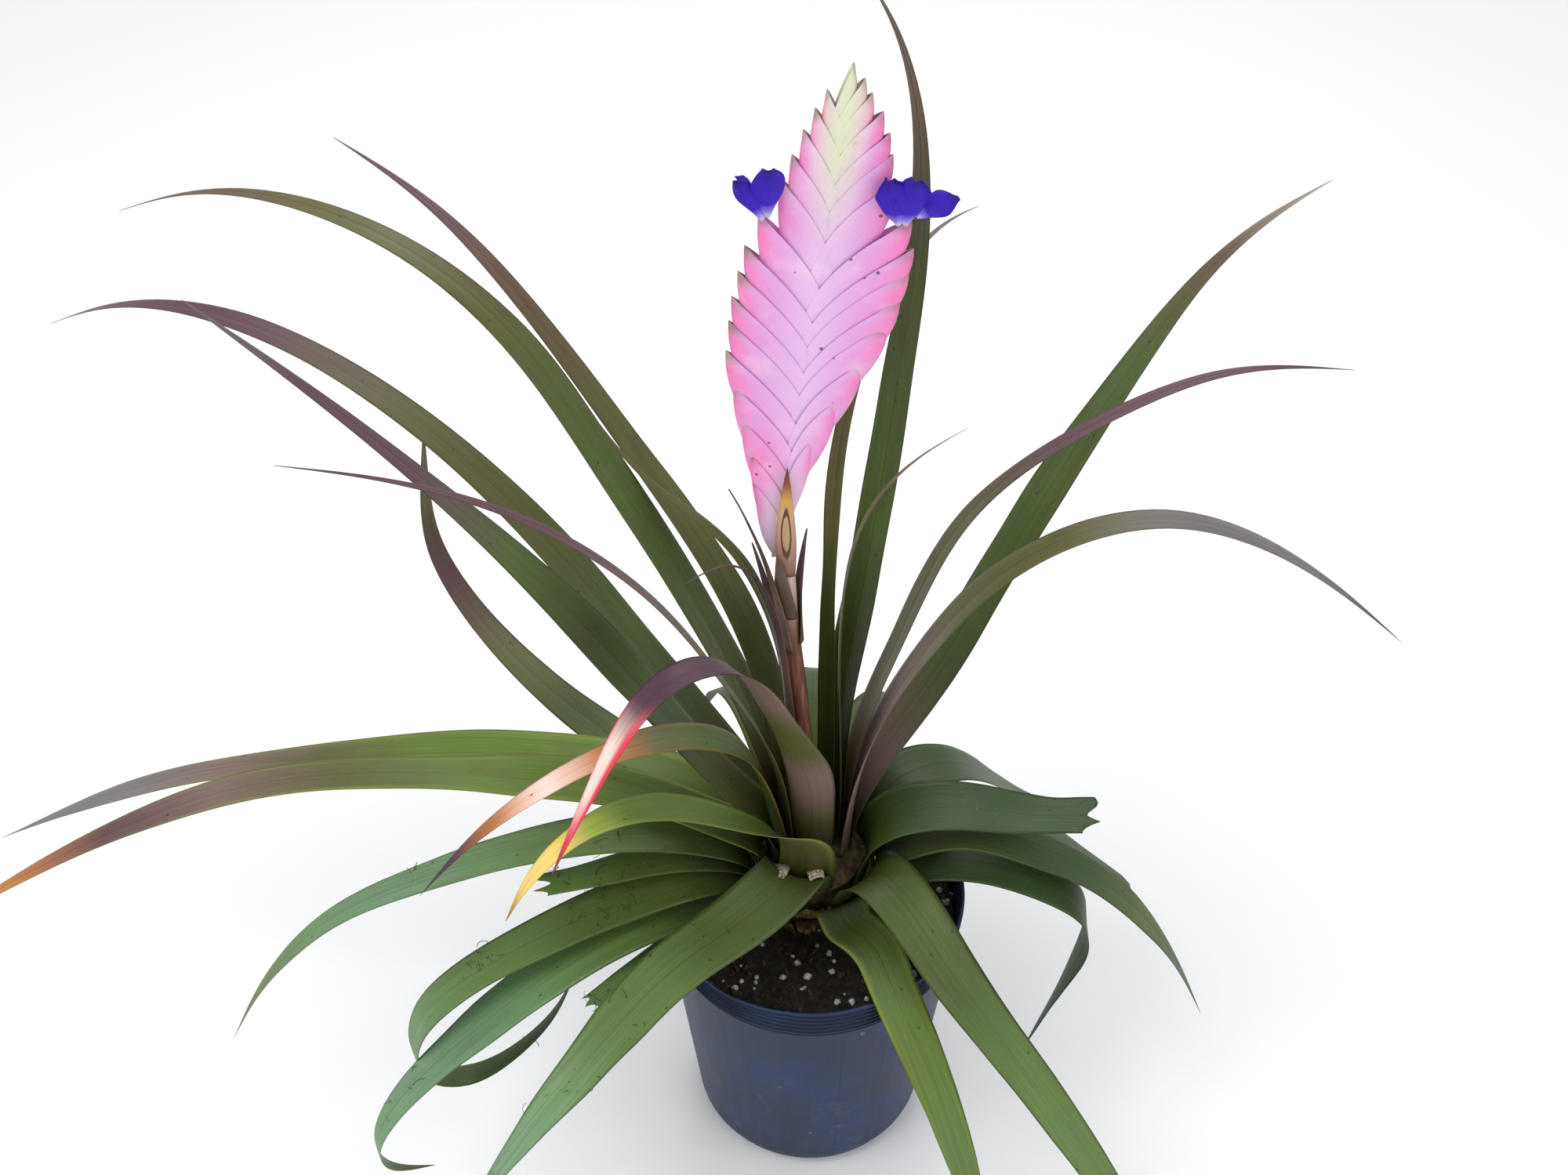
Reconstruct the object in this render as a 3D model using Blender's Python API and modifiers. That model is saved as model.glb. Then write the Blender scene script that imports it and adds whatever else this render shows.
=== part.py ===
"""A quill-plant bromeliad (Tillandsia) in a thin black nursery pot.

Metres, +Z up. The origin is on the ground under the pot's centre, and -Y is the side
that the flat face of the flower spike looks to. Directions round the plant are in
degrees, anticlockwise from +X.
"""
import math

import bmesh
import bpy
import numpy as np
from mathutils import Vector

MM = 0.001
GAP = 0.3 * MM  # between pieces that touch

# Pot
POT_HEIGHT = 130 * MM
RIM_RADIUS = 60 * MM
BASE_RADIUS = 48 * MM
POT_WALL = 1.0 * MM
BASE_ROUNDING = 6 * MM
FLOOR_THICKNESS = 1.3 * MM
RIB_COUNT = 4
RIB_PITCH = 2.6 * MM
RIB_HEIGHT = 0.5 * MM
RIB_SLOPE = 0.3  # of the pitch, from the wall to a rib's crest and back
DRAIN_COUNT = 5
DRAIN_RADIUS = 4 * MM
DRAIN_CIRCLE = 31 * MM

# Soil and the short stem that stands in it
SOIL_TOP = 115 * MM
SOIL_MOUND = 2 * MM
SOIL_CLEARANCE = 3 * GAP
STEM_FOOT = 108 * MM
STEM_FOOT_RADIUS = 13 * MM
STEM_RADIUS = 19 * MM
STEM_NECK_RADIUS = 7.5 * MM
STEM_SHOULDER_DEPTH = 12 * MM
STEM_COLLAR = 4 * MM
CROWN_HEIGHT = 163 * MM
CROWN_SLOPE = 1.3

# Leaf bases, packed in layers round the stem
FIRST_LAYER_RADIUS = 8.6 * MM
LAYER_PITCH = 1.3 * MM
LEAF_THICKNESS = 0.75 * MM
SHEATH_FLARE = 1.1
SHEATH_LENGTH = 30 * MM
SHEATH_RISE = 6 * MM

# Flower stalk, its slender bracts and the flat spike
STALK_RADIUS = 3.0 * MM
STALK_POINTS = [(0, 0, 165), (-3, -1, 205), (-7, -1, 250), (-10, 0, 285), (-11, 0, 314)]
STALK_BRACT_WIDTH = 7 * MM
SPIKE_FOOT = Vector((-11, 0, 315)) * MM
SPIKE_TOP = Vector((6, 0, 460)) * MM
SPIKE_ROWS = 15
SPIKE_FIRST_TIP = 0.09  # shares of the spike's run, from the lowest bract's tip to the highest one's
SPIKE_LAST_TIP = 1.04
RIGHT_ROW_OFFSET = 0.35
RACHIS_RADIUS = 2.4 * MM
BRACT_THICKNESS = 4.6 * MM
BRACT_WIDTH = 14 * MM
BRACT_RISE = 25 * MM
# How far the bract tips stand out from the spike's midline, from its foot to its top, in mm
LEFT_REACH = [10, 18, 24, 23, 12, 2]
RIGHT_REACH = [2, 7, 20, 26, 15, 2]

# Each leaf, innermost first: direction of the blade, width in the middle, how it ends, and
# the points its midrib runs through, in mm: distance from the axis, height and, where the
# leaf sweeps round, how many degrees that point is off the blade's direction.
LEAVES = [
    (213, 6, "point", [(10, 222), (14, 265), (22, 297), (33, 310), (50, 310)]),
    (55, 8, "point", [(8, 230), (8, 300), (20, 360), (48, 385), (91, 384)]),
    (4, 7, "point", [(9, 225), (9, 282), (16, 316), (28, 334), (45, 347)]),
    (168, 8, "point", [(11, 225), (18, 275), (34, 303), (55, 320), (77, 352)]),
    (38, 17, "point", [(13, 223), (20, 271), (32, 363), (35, 428), (22, 468), (6, 490)]),
    (222, 20, "point", [(12, 196, 40), (25, 245, 14), (45, 279, 2), (64, 283), (90, 264), (114, 230)]),
    (202, 10, "point", [(17, 210), (32, 249), (54, 294), (90, 339), (136, 370), (156, 379)]),
    (12, 13, "point", [(16, 205), (31, 262), (54, 312), (90, 338), (131, 351), (176, 346)]),
    (142, 14, "point", [(20, 222), (35, 259), (70, 297), (115, 337), (160, 366), (216, 380)]),
    (356, 17, "point", [(18, 202), (39, 262), (72, 306), (108, 320), (147, 308), (192, 273)]),
    (152, 17, "point", [(20, 197), (50, 261), (84, 313), (126, 358), (181, 375), (245, 368), (289, 350)]),
    (28, 20, "point", [(24, 186), (47, 218), (80, 274), (115, 328), (157, 372), (193, 385)]),
    (202, 17, "point", [(20, 194), (32, 222), (58, 235), (91, 231), (125, 213), (146, 193)]),
    (180, 22, "point", [(28, 182), (66, 247), (110, 313), (152, 363), (182, 394)]),
    (213, 21, "point", [(19, 170, 47), (34, 193, 12), (62, 214), (91, 222), (113, 211), (124, 196)]),
    (158, 21, "point", [(28, 178), (58, 219), (107, 279), (157, 318), (217, 337), (270, 331), (306, 315)]),
    (229, 26, "point", [(24, 161, 21), (44, 158, 8), (72, 154), (122, 147), (160, 134), (182, 122)]),
    (90, 20, "point", [(26, 174), (48, 190), (70, 180), (86, 152)]),
    (62, 20, "point", [(28, 170), (50, 182), (74, 168), (92, 136)]),
    (118, 20, "point", [(30, 172), (54, 184), (78, 170), (98, 138)]),
    (188, 21, "point", [(34, 171), (68, 196), (123, 213), (190, 219), (260, 196), (325, 158)]),
    (168, 24, "point", [(36, 168), (72, 181), (104, 180), (176, 164), (262, 134), (342, 88), (380, 62)]),
    (357, 27, "cut", [(30, 170), (50, 178), (77, 176), (107, 177)]),
    (30, 24, "cut", [(36, 168), (58, 167), (92, 136), (134, 88)]),
    (315, 25, "point", [(29, 158, 4), (45, 161), (68, 144), (103, 122), (150, 90), (196, 50)]),
    (187, 22, "point", [(42, 164), (70, 171), (129, 162), (183, 138), (220, 97), (237, 66)]),
    (354, 22, "point", [(37, 160), (57, 169), (80, 163), (110, 146), (134, 120), (162, 66)]),
    (300, 20, "point", [(30, 145, -8), (42, 144, -2), (58, 133), (78, 118), (112, 83), (140, 45)]),
    (14, 22, "cut", [(37, 158), (58, 157), (82, 144), (112, 116), (145, 78)]),
    (193, 17, "cut", [(42, 158), (60, 161), (84, 159), (107, 158)]),
    (136, 20, "point", [(40, 156), (68, 142), (128, 125), (192, 131), (236, 160), (236, 205), (228, 240)]),
    (201, 22, "point", [(43, 154), (73, 154), (129, 140), (160, 112), (152, 78), (119, 86), (98, 118)]),
    (350, 22, "point", [(38, 150), (60, 156), (86, 151), (104, 138), (105, 100), (92, 38)]),
    (206, 26, "point", [(43, 146), (62, 148), (93, 143), (150, 114), (182, 80), (184, 62), (166, 45)]),
    (90, 22, "point", [(38, 156), (58, 160), (84, 140), (106, 98)]),
    (217, 14, "cut", [(38, 140), (56, 141), (82, 140), (104, 137)]),
]
CUT_END_WIDTH = 0.62

# Bracts on the stalk: height they clasp it at, direction, and how far the tip stands out and up
STALK_BRACTS = [(236, 150, 7, 62), (262, 200, 17, 72), (268, 20, 5, 44), (276, 270, 5, 40)]

# Petals of each open flower: base, tip, width, in mm, the way the petal faces in degrees
LEFT_PETALS = [((-19, -3, 422), (-25, -4, 432), 6, 240), ((-15, -5, 425), (-14, -8, 438), 8, 285),
               ((-20, 1, 421), (-26, 4, 429), 6, 170)]
RIGHT_PETALS = [((20, -5, 422), (15, -8, 431), 8, 260), ((25, -5, 423), (26, -7, 435), 8, 290),
                ((27, -2, 421), (37, -3, 425), 7, 310)]

PARTS = bpy.data.collections.new("potted_bromeliad")
CUTTERS = bpy.data.collections.new("cutters")


def material(name, colour, roughness, metallic=0.0):
    made = bpy.data.materials.get(name)
    if made:
        return made
    made = bpy.data.materials.new(name)
    made.use_nodes = True
    surface = made.node_tree.nodes["Principled BSDF"]
    surface.inputs["Base Color"].default_value = (*colour, 1.0)
    surface.inputs["Roughness"].default_value = roughness
    surface.inputs["Metallic"].default_value = metallic
    return made


def add_object(name, data, finish, collection=PARTS):
    made = bpy.data.objects.new(name, data)
    collection.objects.link(made)
    if finish:
        data.materials.append(finish)
    return made


def add_cutter(name, mesh):
    cutter = add_object(name, mesh, None, CUTTERS)
    cutter.hide_render = True
    cutter.display_type = "WIRE"
    return cutter


def turned(name, profile, steps, finish):
    """A profile of (radius, height) points turned round the Z axis."""
    mesh = bpy.data.meshes.new(name)
    points = [(radius, 0.0, height) for radius, height in profile]
    mesh.from_pydata(points, [(i, i + 1) for i in range(len(points) - 1)], [])
    made = add_object(name, mesh, finish)
    screw = made.modifiers.new("turn", "SCREW")
    screw.steps = screw.render_steps = steps
    screw.use_merge_vertices = True
    screw.merge_threshold = 0.00001
    screw.use_smooth_shade = True
    return made


def smooth_path(points, fractions):
    """Points at the given fractions of the length of a natural cubic through `points`."""
    points = np.array(points, float)
    at = np.concatenate([[0.0], np.cumsum(np.linalg.norm(np.diff(points, axis=0), axis=1))])
    step = np.diff(at)
    count = len(points)
    system = np.eye(count)
    bend = np.zeros_like(points)
    for i in range(1, count - 1):
        system[i, i - 1:i + 2] = step[i - 1], 2 * (step[i - 1] + step[i]), step[i]
        bend[i] = 6 * ((points[i + 1] - points[i]) / step[i] - (points[i] - points[i - 1]) / step[i - 1])
    curvature = np.linalg.solve(system, bend)

    def position(s):
        i = min(int(np.searchsorted(at, s, side="right")) - 1, count - 2)
        width = step[i]
        a, b = (at[i + 1] - s) / width, (s - at[i]) / width
        lift = (a ** 3 - a) * curvature[i] + (b ** 3 - b) * curvature[i + 1]
        return a * points[i] + b * points[i + 1] + lift * width ** 2 / 6

    fine = np.array([position(s) for s in np.linspace(0, at[-1], 240)])
    run = np.concatenate([[0.0], np.cumsum(np.linalg.norm(np.diff(fine, axis=0), axis=1))])
    wanted = np.array(fractions) * run[-1]
    path = [Vector([float(np.interp(s, run, fine[:, k])) for k in range(3)]) for s in wanted]
    return path, float(run[-1])


def finish_mesh(name, vertices, faces):
    mesh = bpy.data.meshes.new(name)
    mesh.from_pydata(vertices, [], faces)
    work = bmesh.new()
    work.from_mesh(mesh)
    bmesh.ops.recalc_face_normals(work, faces=work.faces)
    work.to_mesh(mesh)
    work.free()
    mesh.shade_smooth()
    mesh.set_sharp_from_angle(angle=math.radians(50))
    return mesh


def loft(rings, tip):
    """Faces over equal rings of vertices, capped across the first and closed on `tip`."""
    size = len(rings[0])
    vertices = [vertex for ring in rings for vertex in ring] + [tip]
    faces = []
    for row in range(len(rings) - 1):
        for k in range(size):
            here, after = row * size + k, row * size + (k + 1) % size
            faces.append((here, after, after + size, here + size))
    last = (len(rings) - 1) * size
    faces += [(last + k, last + (k + 1) % size, len(vertices) - 1) for k in range(size)]
    faces.append((0, 1, size - 1))
    faces += [(k, k + 1, size - k - 1, size - k) for k in range(1, size // 2 - 1)]
    faces.append((size // 2 - 1, size // 2, size // 2 + 1))
    return vertices, faces


def channel_ring(centre, along, across, width, bend_radius, thickness):
    """Eight points round a blade's section: an arc of `bend_radius`, open to the upper side."""
    across = (across - along * across.dot(along)).normalized()
    upper = along.cross(across)
    ring = []
    for u, side in ((-1, 0), (-0.5, 1), (0, 1), (0.5, 1), (1, 0), (0.5, -1), (0, -1), (-0.5, -1)):
        angle = u * width / (2 * bend_radius)
        radial = bend_radius - side * thickness / 2
        ring.append(centre + across * radial * math.sin(angle)
                    + upper * (bend_radius - radial * math.cos(angle)))
    return ring


def smoothstep(low, high, value):
    t = min(max((value - low) / (high - low), 0.0), 1.0)
    return t * t * (3 - 2 * t)


def directions(path):
    ends = [path[0]] + path + [path[-1]]
    return [(ends[i + 2] - ends[i]).normalized() for i in range(len(path))]


def polar(distance, height, degrees):
    angle = math.radians(degrees)
    return Vector((distance * math.cos(angle), distance * math.sin(angle), height))


def crown_height(radius):
    """The stem's top is a cone that the leaf bases stand on."""
    return CROWN_HEIGHT - max(radius - STEM_NECK_RADIUS, 0) * CROWN_SLOPE


def leaf_layers():
    """Each leaf's layer: the first that is outside every earlier leaf it overlaps."""
    placed = []
    for azimuth, width, _, knots in LEAVES:
        turn = knots[0][2] if len(knots[0]) > 2 else 0
        base_azimuth = azimuth + turn
        layer = 0
        for other_azimuth, other_width, other_layer in placed:
            apart = abs((base_azimuth - other_azimuth + 180) % 360 - 180)
            radius = FIRST_LAYER_RADIUS + other_layer * LAYER_PITCH
            reach = math.degrees((width + other_width) * MM * SHEATH_FLARE / (2 * radius)) + 4
            if apart < reach:
                layer = max(layer, other_layer + 1)
        placed.append((base_azimuth, width, layer))
    return [(base_azimuth, layer) for base_azimuth, _, layer in placed]


def leaf(name, azimuth, width, end, knots, base_azimuth, layer, finish):
    radius = FIRST_LAYER_RADIUS + layer * LAYER_PITCH
    foot = crown_height(radius - LEAF_THICKNESS) + 2 * GAP
    points = [polar(radius, foot, base_azimuth), polar(radius + 0.2 * MM, foot + SHEATH_RISE, base_azimuth)]
    for distance, height, *turn in knots:
        points.append(polar(distance * MM, height * MM, azimuth + (turn[0] if turn else 0)))
    stations = 15 if len(knots) < 6 else 17
    runs = [(k / stations) ** 1.45 for k in range(stations + 1)]
    path, length = smooth_path(points, runs)
    rings = []
    for centre, along, run in zip(path, directions(path), runs):
        distance = max(math.hypot(centre.x, centre.y), radius)
        local = math.atan2(centre.y, centre.x)
        across = Vector((-math.sin(local), math.cos(local), 0))
        flare = 1 + (SHEATH_FLARE - 1) * (1 - smoothstep(0.0, SHEATH_LENGTH, run * length))
        taper = 1 - (1 - CUT_END_WIDTH) * run ** 2 if end == "cut" else 1 - run ** 2.2
        thickness = LEAF_THICKNESS * (1 - 0.4 * run)
        if taper > 0:
            rings.append(channel_ring(centre, along, across, width * MM * flare * taper, distance, thickness))
    return add_object(name, finish_mesh(name, *loft(rings, path[-1])), finish)


def build_leaves():
    young, old = Vector((0.15, 0.16, 0.08)), Vector((0.14, 0.26, 0.12))
    for number, (row, (base_azimuth, layer)) in enumerate(zip(LEAVES, leaf_layers()), 1):
        name = f"leaf_{number:02d}"
        finish = material(name, young.lerp(old, number / len(LEAVES)), 0.45)
        leaf(name, *row, base_azimuth, layer, finish)


def blade(name, points, width, across, bend_radius, thickness, finish, stations=7):
    """A small pointed blade along `points`, widest a third of the way up."""
    runs = [k / stations for k in range(stations + 1)]
    path, _ = smooth_path(points, runs)
    rings = []
    for centre, along, run in zip(path[:-1], directions(path), runs):
        full = 0.6 + 0.4 * math.sin(min(run / 0.4, 1) * math.pi / 2)
        local = width * full * (1 - run ** 3)
        rings.append(channel_ring(centre, along, across, local, bend_radius, thickness))
    return add_object(name, finish_mesh(name, *loft(rings, path[-1])), finish)


def build_pot():
    def outside(height):
        return BASE_RADIUS + (RIM_RADIUS - BASE_RADIUS) * height / POT_HEIGHT

    profile = [(0.0, FLOOR_THICKNESS), (BASE_RADIUS - BASE_ROUNDING, FLOOR_THICKNESS)]
    profile.append((outside(BASE_ROUNDING) - POT_WALL, BASE_ROUNDING))
    profile.append((RIM_RADIUS - POT_WALL, POT_HEIGHT))
    profile.append((RIM_RADIUS, POT_HEIGHT))
    for rib in range(RIB_COUNT):
        top = POT_HEIGHT - (rib + 1 - RIB_SLOPE) * RIB_PITCH
        profile.append((outside(top), top))
        profile.append((outside(top) + RIB_HEIGHT, top - RIB_PITCH * RIB_SLOPE))
        profile.append((outside(top), top - RIB_PITCH * RIB_SLOPE * 2))
    for step in range(4):
        angle = math.radians(30 * step)
        centre = BASE_RADIUS - BASE_ROUNDING, BASE_ROUNDING
        profile.append((centre[0] + BASE_ROUNDING * math.cos(angle), centre[1] - BASE_ROUNDING * math.sin(angle)))
    profile.append((0.0, 0.0))
    pot = turned("pot", profile, 44, material("pot_film", (0.02, 0.025, 0.05), 0.35))
    for hole in range(DRAIN_COUNT):
        drill = bmesh.new()
        bmesh.ops.create_cone(drill, cap_ends=True, segments=10, radius1=DRAIN_RADIUS,
                              radius2=DRAIN_RADIUS, depth=6 * MM)
        mesh = bpy.data.meshes.new("drain_cutter")
        drill.to_mesh(mesh)
        drill.free()
        cutter = add_cutter(f"drain_cutter_{hole + 1}", mesh)
        cutter.location = polar(DRAIN_CIRCLE, 0.0, 360 / DRAIN_COUNT * (hole + 0.5))
        drain = pot.modifiers.new("drain", "BOOLEAN")
        drain.object = cutter
    return pot


def build_soil():
    slope = (RIM_RADIUS - BASE_RADIUS) / POT_HEIGHT
    inner = BASE_RADIUS - POT_WALL - SOIL_CLEARANCE
    pit = STEM_FOOT_RADIUS + GAP
    profile = [(0.0, STEM_FOOT - GAP), (pit, STEM_FOOT - GAP), (pit, SOIL_TOP + SOIL_MOUND)]
    profile.append(((pit + inner) / 2, SOIL_TOP + SOIL_MOUND / 2))
    profile.append((inner + slope * SOIL_TOP, SOIL_TOP))
    profile.append((inner + slope * BASE_ROUNDING, BASE_ROUNDING + POT_WALL))
    profile.append((inner - BASE_ROUNDING, FLOOR_THICKNESS + GAP))
    profile.append((0.0, FLOOR_THICKNESS + GAP))
    return turned("soil", profile, 32, material("potting_soil", (0.03, 0.022, 0.016), 0.95))


def build_stem():
    shoulder = crown_height(STEM_RADIUS)
    profile = [(0.0, CROWN_HEIGHT), (STEM_NECK_RADIUS, CROWN_HEIGHT), (STEM_RADIUS, shoulder)]
    profile.append((STEM_RADIUS - BASE_ROUNDING / 4, shoulder - STEM_SHOULDER_DEPTH))
    profile.append((STEM_FOOT_RADIUS, SOIL_TOP + SOIL_MOUND + STEM_COLLAR))
    profile.append((STEM_FOOT_RADIUS, STEM_FOOT))
    profile.append((0.0, STEM_FOOT))
    return turned("stem", profile, 24, material("old_stem", (0.1, 0.07, 0.03), 0.8))


def build_stalk():
    path, _ = smooth_path([Vector(point) * MM for point in STALK_POINTS], np.linspace(0, 1, 9))
    curve = bpy.data.curves.new("flower_stalk", "CURVE")
    curve.dimensions = "3D"
    curve.bevel_depth = STALK_RADIUS
    curve.bevel_resolution = 2
    curve.use_fill_caps = True
    spline = curve.splines.new("POLY")
    spline.points.add(len(path) - 1)
    for point, place in zip(spline.points, path):
        point.co = (*place, 1.0)
    return add_object("flower_stalk", curve, material("stalk", (0.55, 0.36, 0.28), 0.5))


def stalk_centre(height):
    heights = [point[2] * MM for point in STALK_POINTS]
    return Vector([float(np.interp(height, heights, [point[k] * MM for point in STALK_POINTS]))
                   for k in range(2)] + [height])


def build_stalk_bracts():
    finish = material("stalk_bract", (0.4, 0.2, 0.15), 0.5)
    clasp = STALK_RADIUS + 3 * GAP
    for number, (height, azimuth, reach, rise) in enumerate(STALK_BRACTS, 1):
        out = polar(1.0, 0.0, azimuth)
        points = [stalk_centre((height + up) * MM) + out * (clasp + away * MM)
                  for up, away in ((0, 0), (12, 0.2), (rise * 0.6, reach * 0.3))]
        points.append(points[-1] + out * reach * 0.7 * MM + Vector((0, 0, rise * 0.4 * MM)))
        across = Vector((-out.y, out.x, 0))
        blade(f"stalk_bract_{number}", points, STALK_BRACT_WIDTH, across, clasp, 0.5 * MM, finish)


def spike_bract(name, root, tip, width):
    """A flat, pointed, keeled bract from `root` on the midline to `tip` on the spike's edge."""
    along = (tip - root).normalized()
    across = along.cross(Vector((0, 1, 0)))
    rings = []
    for run, wide, thick in ((0, 0.5, 0.8), (0.25, 0.9, 1.0), (0.55, 1.0, 0.8), (0.8, 0.62, 0.5)):
        centre = root.lerp(tip, run)
        half, deep = width * wide / 2, BRACT_THICKNESS * thick / 2
        rings.append([centre - across * half, centre - Vector((0, deep, 0)),
                      centre + across * half, centre + Vector((0, deep, 0))])
    return finish_mesh(name, *loft(rings, tip))


def build_spike():
    middle = SPIKE_FOOT.lerp(SPIKE_TOP, 0.5)
    run = SPIKE_TOP - SPIKE_FOOT
    core = bmesh.new()
    bmesh.ops.create_cone(core, cap_ends=True, segments=10, radius1=RACHIS_RADIUS,
                          radius2=RACHIS_RADIUS * 0.4, depth=run.length)
    mesh = bpy.data.meshes.new("flower_spike")
    core.to_mesh(mesh)
    core.free()
    spike = add_object("flower_spike", mesh, material("spike_bract", (0.85, 0.42, 0.6), 0.5))
    spike.location = middle
    spike.rotation_euler = run.to_track_quat("Z", "X").to_euler()
    bracts = bpy.data.collections.new("spike_bracts")
    CUTTERS.children.link(bracts)
    for row in range(SPIKE_ROWS):
        for side, reaches in ((-1, LEFT_REACH), (1, RIGHT_REACH)):
            up = (row + (RIGHT_ROW_OFFSET if side > 0 else 0)) / SPIKE_ROWS
            reach = float(np.interp(up, np.linspace(0, 1, len(reaches)), reaches)) * MM
            tip = SPIKE_FOOT + run * (SPIKE_FIRST_TIP + (SPIKE_LAST_TIP - SPIKE_FIRST_TIP) * up)
            tip.x += side * reach
            rise = BRACT_RISE * (1 - 0.45 * up)
            root = SPIKE_FOOT + run * max((tip.z - rise - SPIKE_FOOT.z) / run.z, 0.015)
            width = BRACT_WIDTH * (0.55 + 0.45 * math.sin(math.pi * (0.15 + 0.85 * up)))
            name = f"spike_bract_{2 * row + (2 if side > 0 else 1)}"
            bract = bpy.data.objects.new(name, spike_bract(name, root, tip, width))
            bracts.objects.link(bract)
            bract.hide_render = True
            bract.display_type = "WIRE"
    union = spike.modifiers.new("bracts", "BOOLEAN")
    union.operation = "UNION"
    union.operand_type = "COLLECTION"
    union.collection = bracts
    return spike


def build_petals():
    finish = material("petal", (0.12, 0.04, 0.5), 0.5)
    for side, petals in (("left", LEFT_PETALS), ("right", RIGHT_PETALS)):
        for number, (base, tip, width, facing) in enumerate(petals, 1):
            root, end = Vector(base) * MM, Vector(tip) * MM
            face = polar(1.0, 0.0, facing)
            across = (end - root).cross(face).normalized()
            bow = (root + end) / 2 + face * 1.0 * MM
            blade(f"{side}_petal_{number}", [root, bow, end], width * MM, across, 9 * MM,
                  0.5 * MM, finish, stations=6)


for old in list(bpy.data.objects):
    bpy.data.objects.remove(old)
bpy.context.scene.collection.children.link(PARTS)
bpy.context.scene.collection.children.link(CUTTERS)
build_pot()
build_soil()
build_stem()
build_stalk()
build_stalk_bracts()
build_spike()
build_petals()
build_leaves()
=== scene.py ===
"""Finishes for a potted quill-plant bromeliad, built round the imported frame.

Metres, +Z up, with the origin on the ground under the pot. The flat face of the flower
spike looks to -Y, and directions round the plant are anticlockwise from +X.
"""

from math import cos, exp, hypot, pi, radians, sin

import bmesh
import bpy
import numpy as np
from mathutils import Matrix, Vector


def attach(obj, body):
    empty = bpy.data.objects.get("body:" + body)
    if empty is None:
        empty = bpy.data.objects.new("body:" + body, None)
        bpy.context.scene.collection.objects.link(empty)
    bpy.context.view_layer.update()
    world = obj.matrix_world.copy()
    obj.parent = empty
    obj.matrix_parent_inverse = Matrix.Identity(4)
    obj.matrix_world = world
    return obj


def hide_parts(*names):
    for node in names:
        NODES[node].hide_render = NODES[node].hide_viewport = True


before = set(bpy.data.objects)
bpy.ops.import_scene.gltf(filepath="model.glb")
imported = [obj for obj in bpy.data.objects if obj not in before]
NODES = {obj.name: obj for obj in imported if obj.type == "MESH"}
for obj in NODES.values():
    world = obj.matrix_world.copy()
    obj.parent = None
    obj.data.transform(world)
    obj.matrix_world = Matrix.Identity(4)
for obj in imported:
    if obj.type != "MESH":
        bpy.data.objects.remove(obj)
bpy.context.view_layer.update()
MM = 0.001

# Leaves: points across and along a blade, the ragged depth of a cut end, the foot darkened with painted
# shade, the stretch over which a blade comes free of the crown, how far it twists and its margins wave, and a
# tip's half width
LEAF_COLUMNS = 13
LEAF_STATIONS = 84
TORN_DEPTH = 9 * MM
SHADED_FOOT_LENGTH = 45 * MM
FREE_FROM = (50 * MM, 110 * MM)
TWIST = 0.09
MARGIN_WAVE = 0.03
TIP_HALF = 0.12 * MM
SECTION_POINTS = 8
STEM_REGION = 30 * MM

# Pot and soil
POT_HEIGHT = 130 * MM
RIM_RADIUS = 60 * MM
BASE_RADIUS = 48 * MM
POT_WALL = 1.0 * MM
BASE_ROUNDING = 7 * MM
RIB_COUNT = 5
RIB_PITCH = 2.7 * MM
RIB_HEIGHT = 0.6 * MM
POT_SIDES = 200
RIM_LIP = 0.4 * MM
DRAIN_COUNT = 5
DRAIN_RADIUS = 4 * MM
DRAIN_CIRCLE = 31 * MM
SOIL_TOP = 115 * MM

# Flower spike, in mm: its midline, and the tips of the bracts from its foot up
SPIKE_FOOT = Vector((-11, 0, 315)) * MM
SPIKE_TOP = Vector((6, 0, 460)) * MM
LEFT_TIPS = [(-21, 330), (-22, 341), (-24, 353), (-26, 365), (-28, 377), (-27, 387), (-26, 395), (-24, 403),
             (-22, 411), (-18, 421), (-12, 431), (-9, 438), (-6, 445), (-3, 451), (0, 456)]
RIGHT_TIPS = [(-9, 332), (-2, 346), (5, 360), (12, 373), (19, 386), (22, 394), (24, 403), (25, 410),
              (24, 419), (19, 430), (18, 438), (17, 444), (15, 450), (12, 455), (10, 459), (7, 463)]
BRACT_LEAN = 0.04
BRACT_LENGTH = 36 * MM
BRACT_WALL = 0.2 * MM
PETAL_WALL = 0.18 * MM
STALK_BRACT_WALL = 0.45 * MM

# The stalk's path, its radius, and the middle its bracts keep to, in mm
STALK_PATH = [(0, 0, 165), (-3, -1, 205), (-7, -1, 250), (-10, 0, 285), (-11, 0, 316)]
STALK_RADIUS = 2.9 * MM
STALK_MIDDLE = [(165, 205, 250, 285, 314), (0, -3, -7, -10, -11)]

# Stalk bracts: foot height, direction, tip stand-off, tip rise, width, and colours from foot to tip
STALK_BRACTS = {
    "stalk_bract_1": (236, 150, 9, 63, 7.5, "bark wine wine plum"),
    "stalk_bract_2": (258, 205, 15, 74, 8.0, "bark mauve bark wine plum"),
    "stalk_bract_3": (262, 20, 4, 46, 8.5, "umber bark wine plum"),
    "stalk_bract_4": (274, 250, 4, 31, 7.5, "umber bark mauve bark"),
}

# A cut stub: (distance along it, radius) in mm, out over its rim and back into its hollow end
STUB_PROFILE = ((0, 2.0), (5, 1.9), (8.6, 1.8), (8.9, 1.4), (4.2, 1.1))
STUB_SIDES = 16

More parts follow.
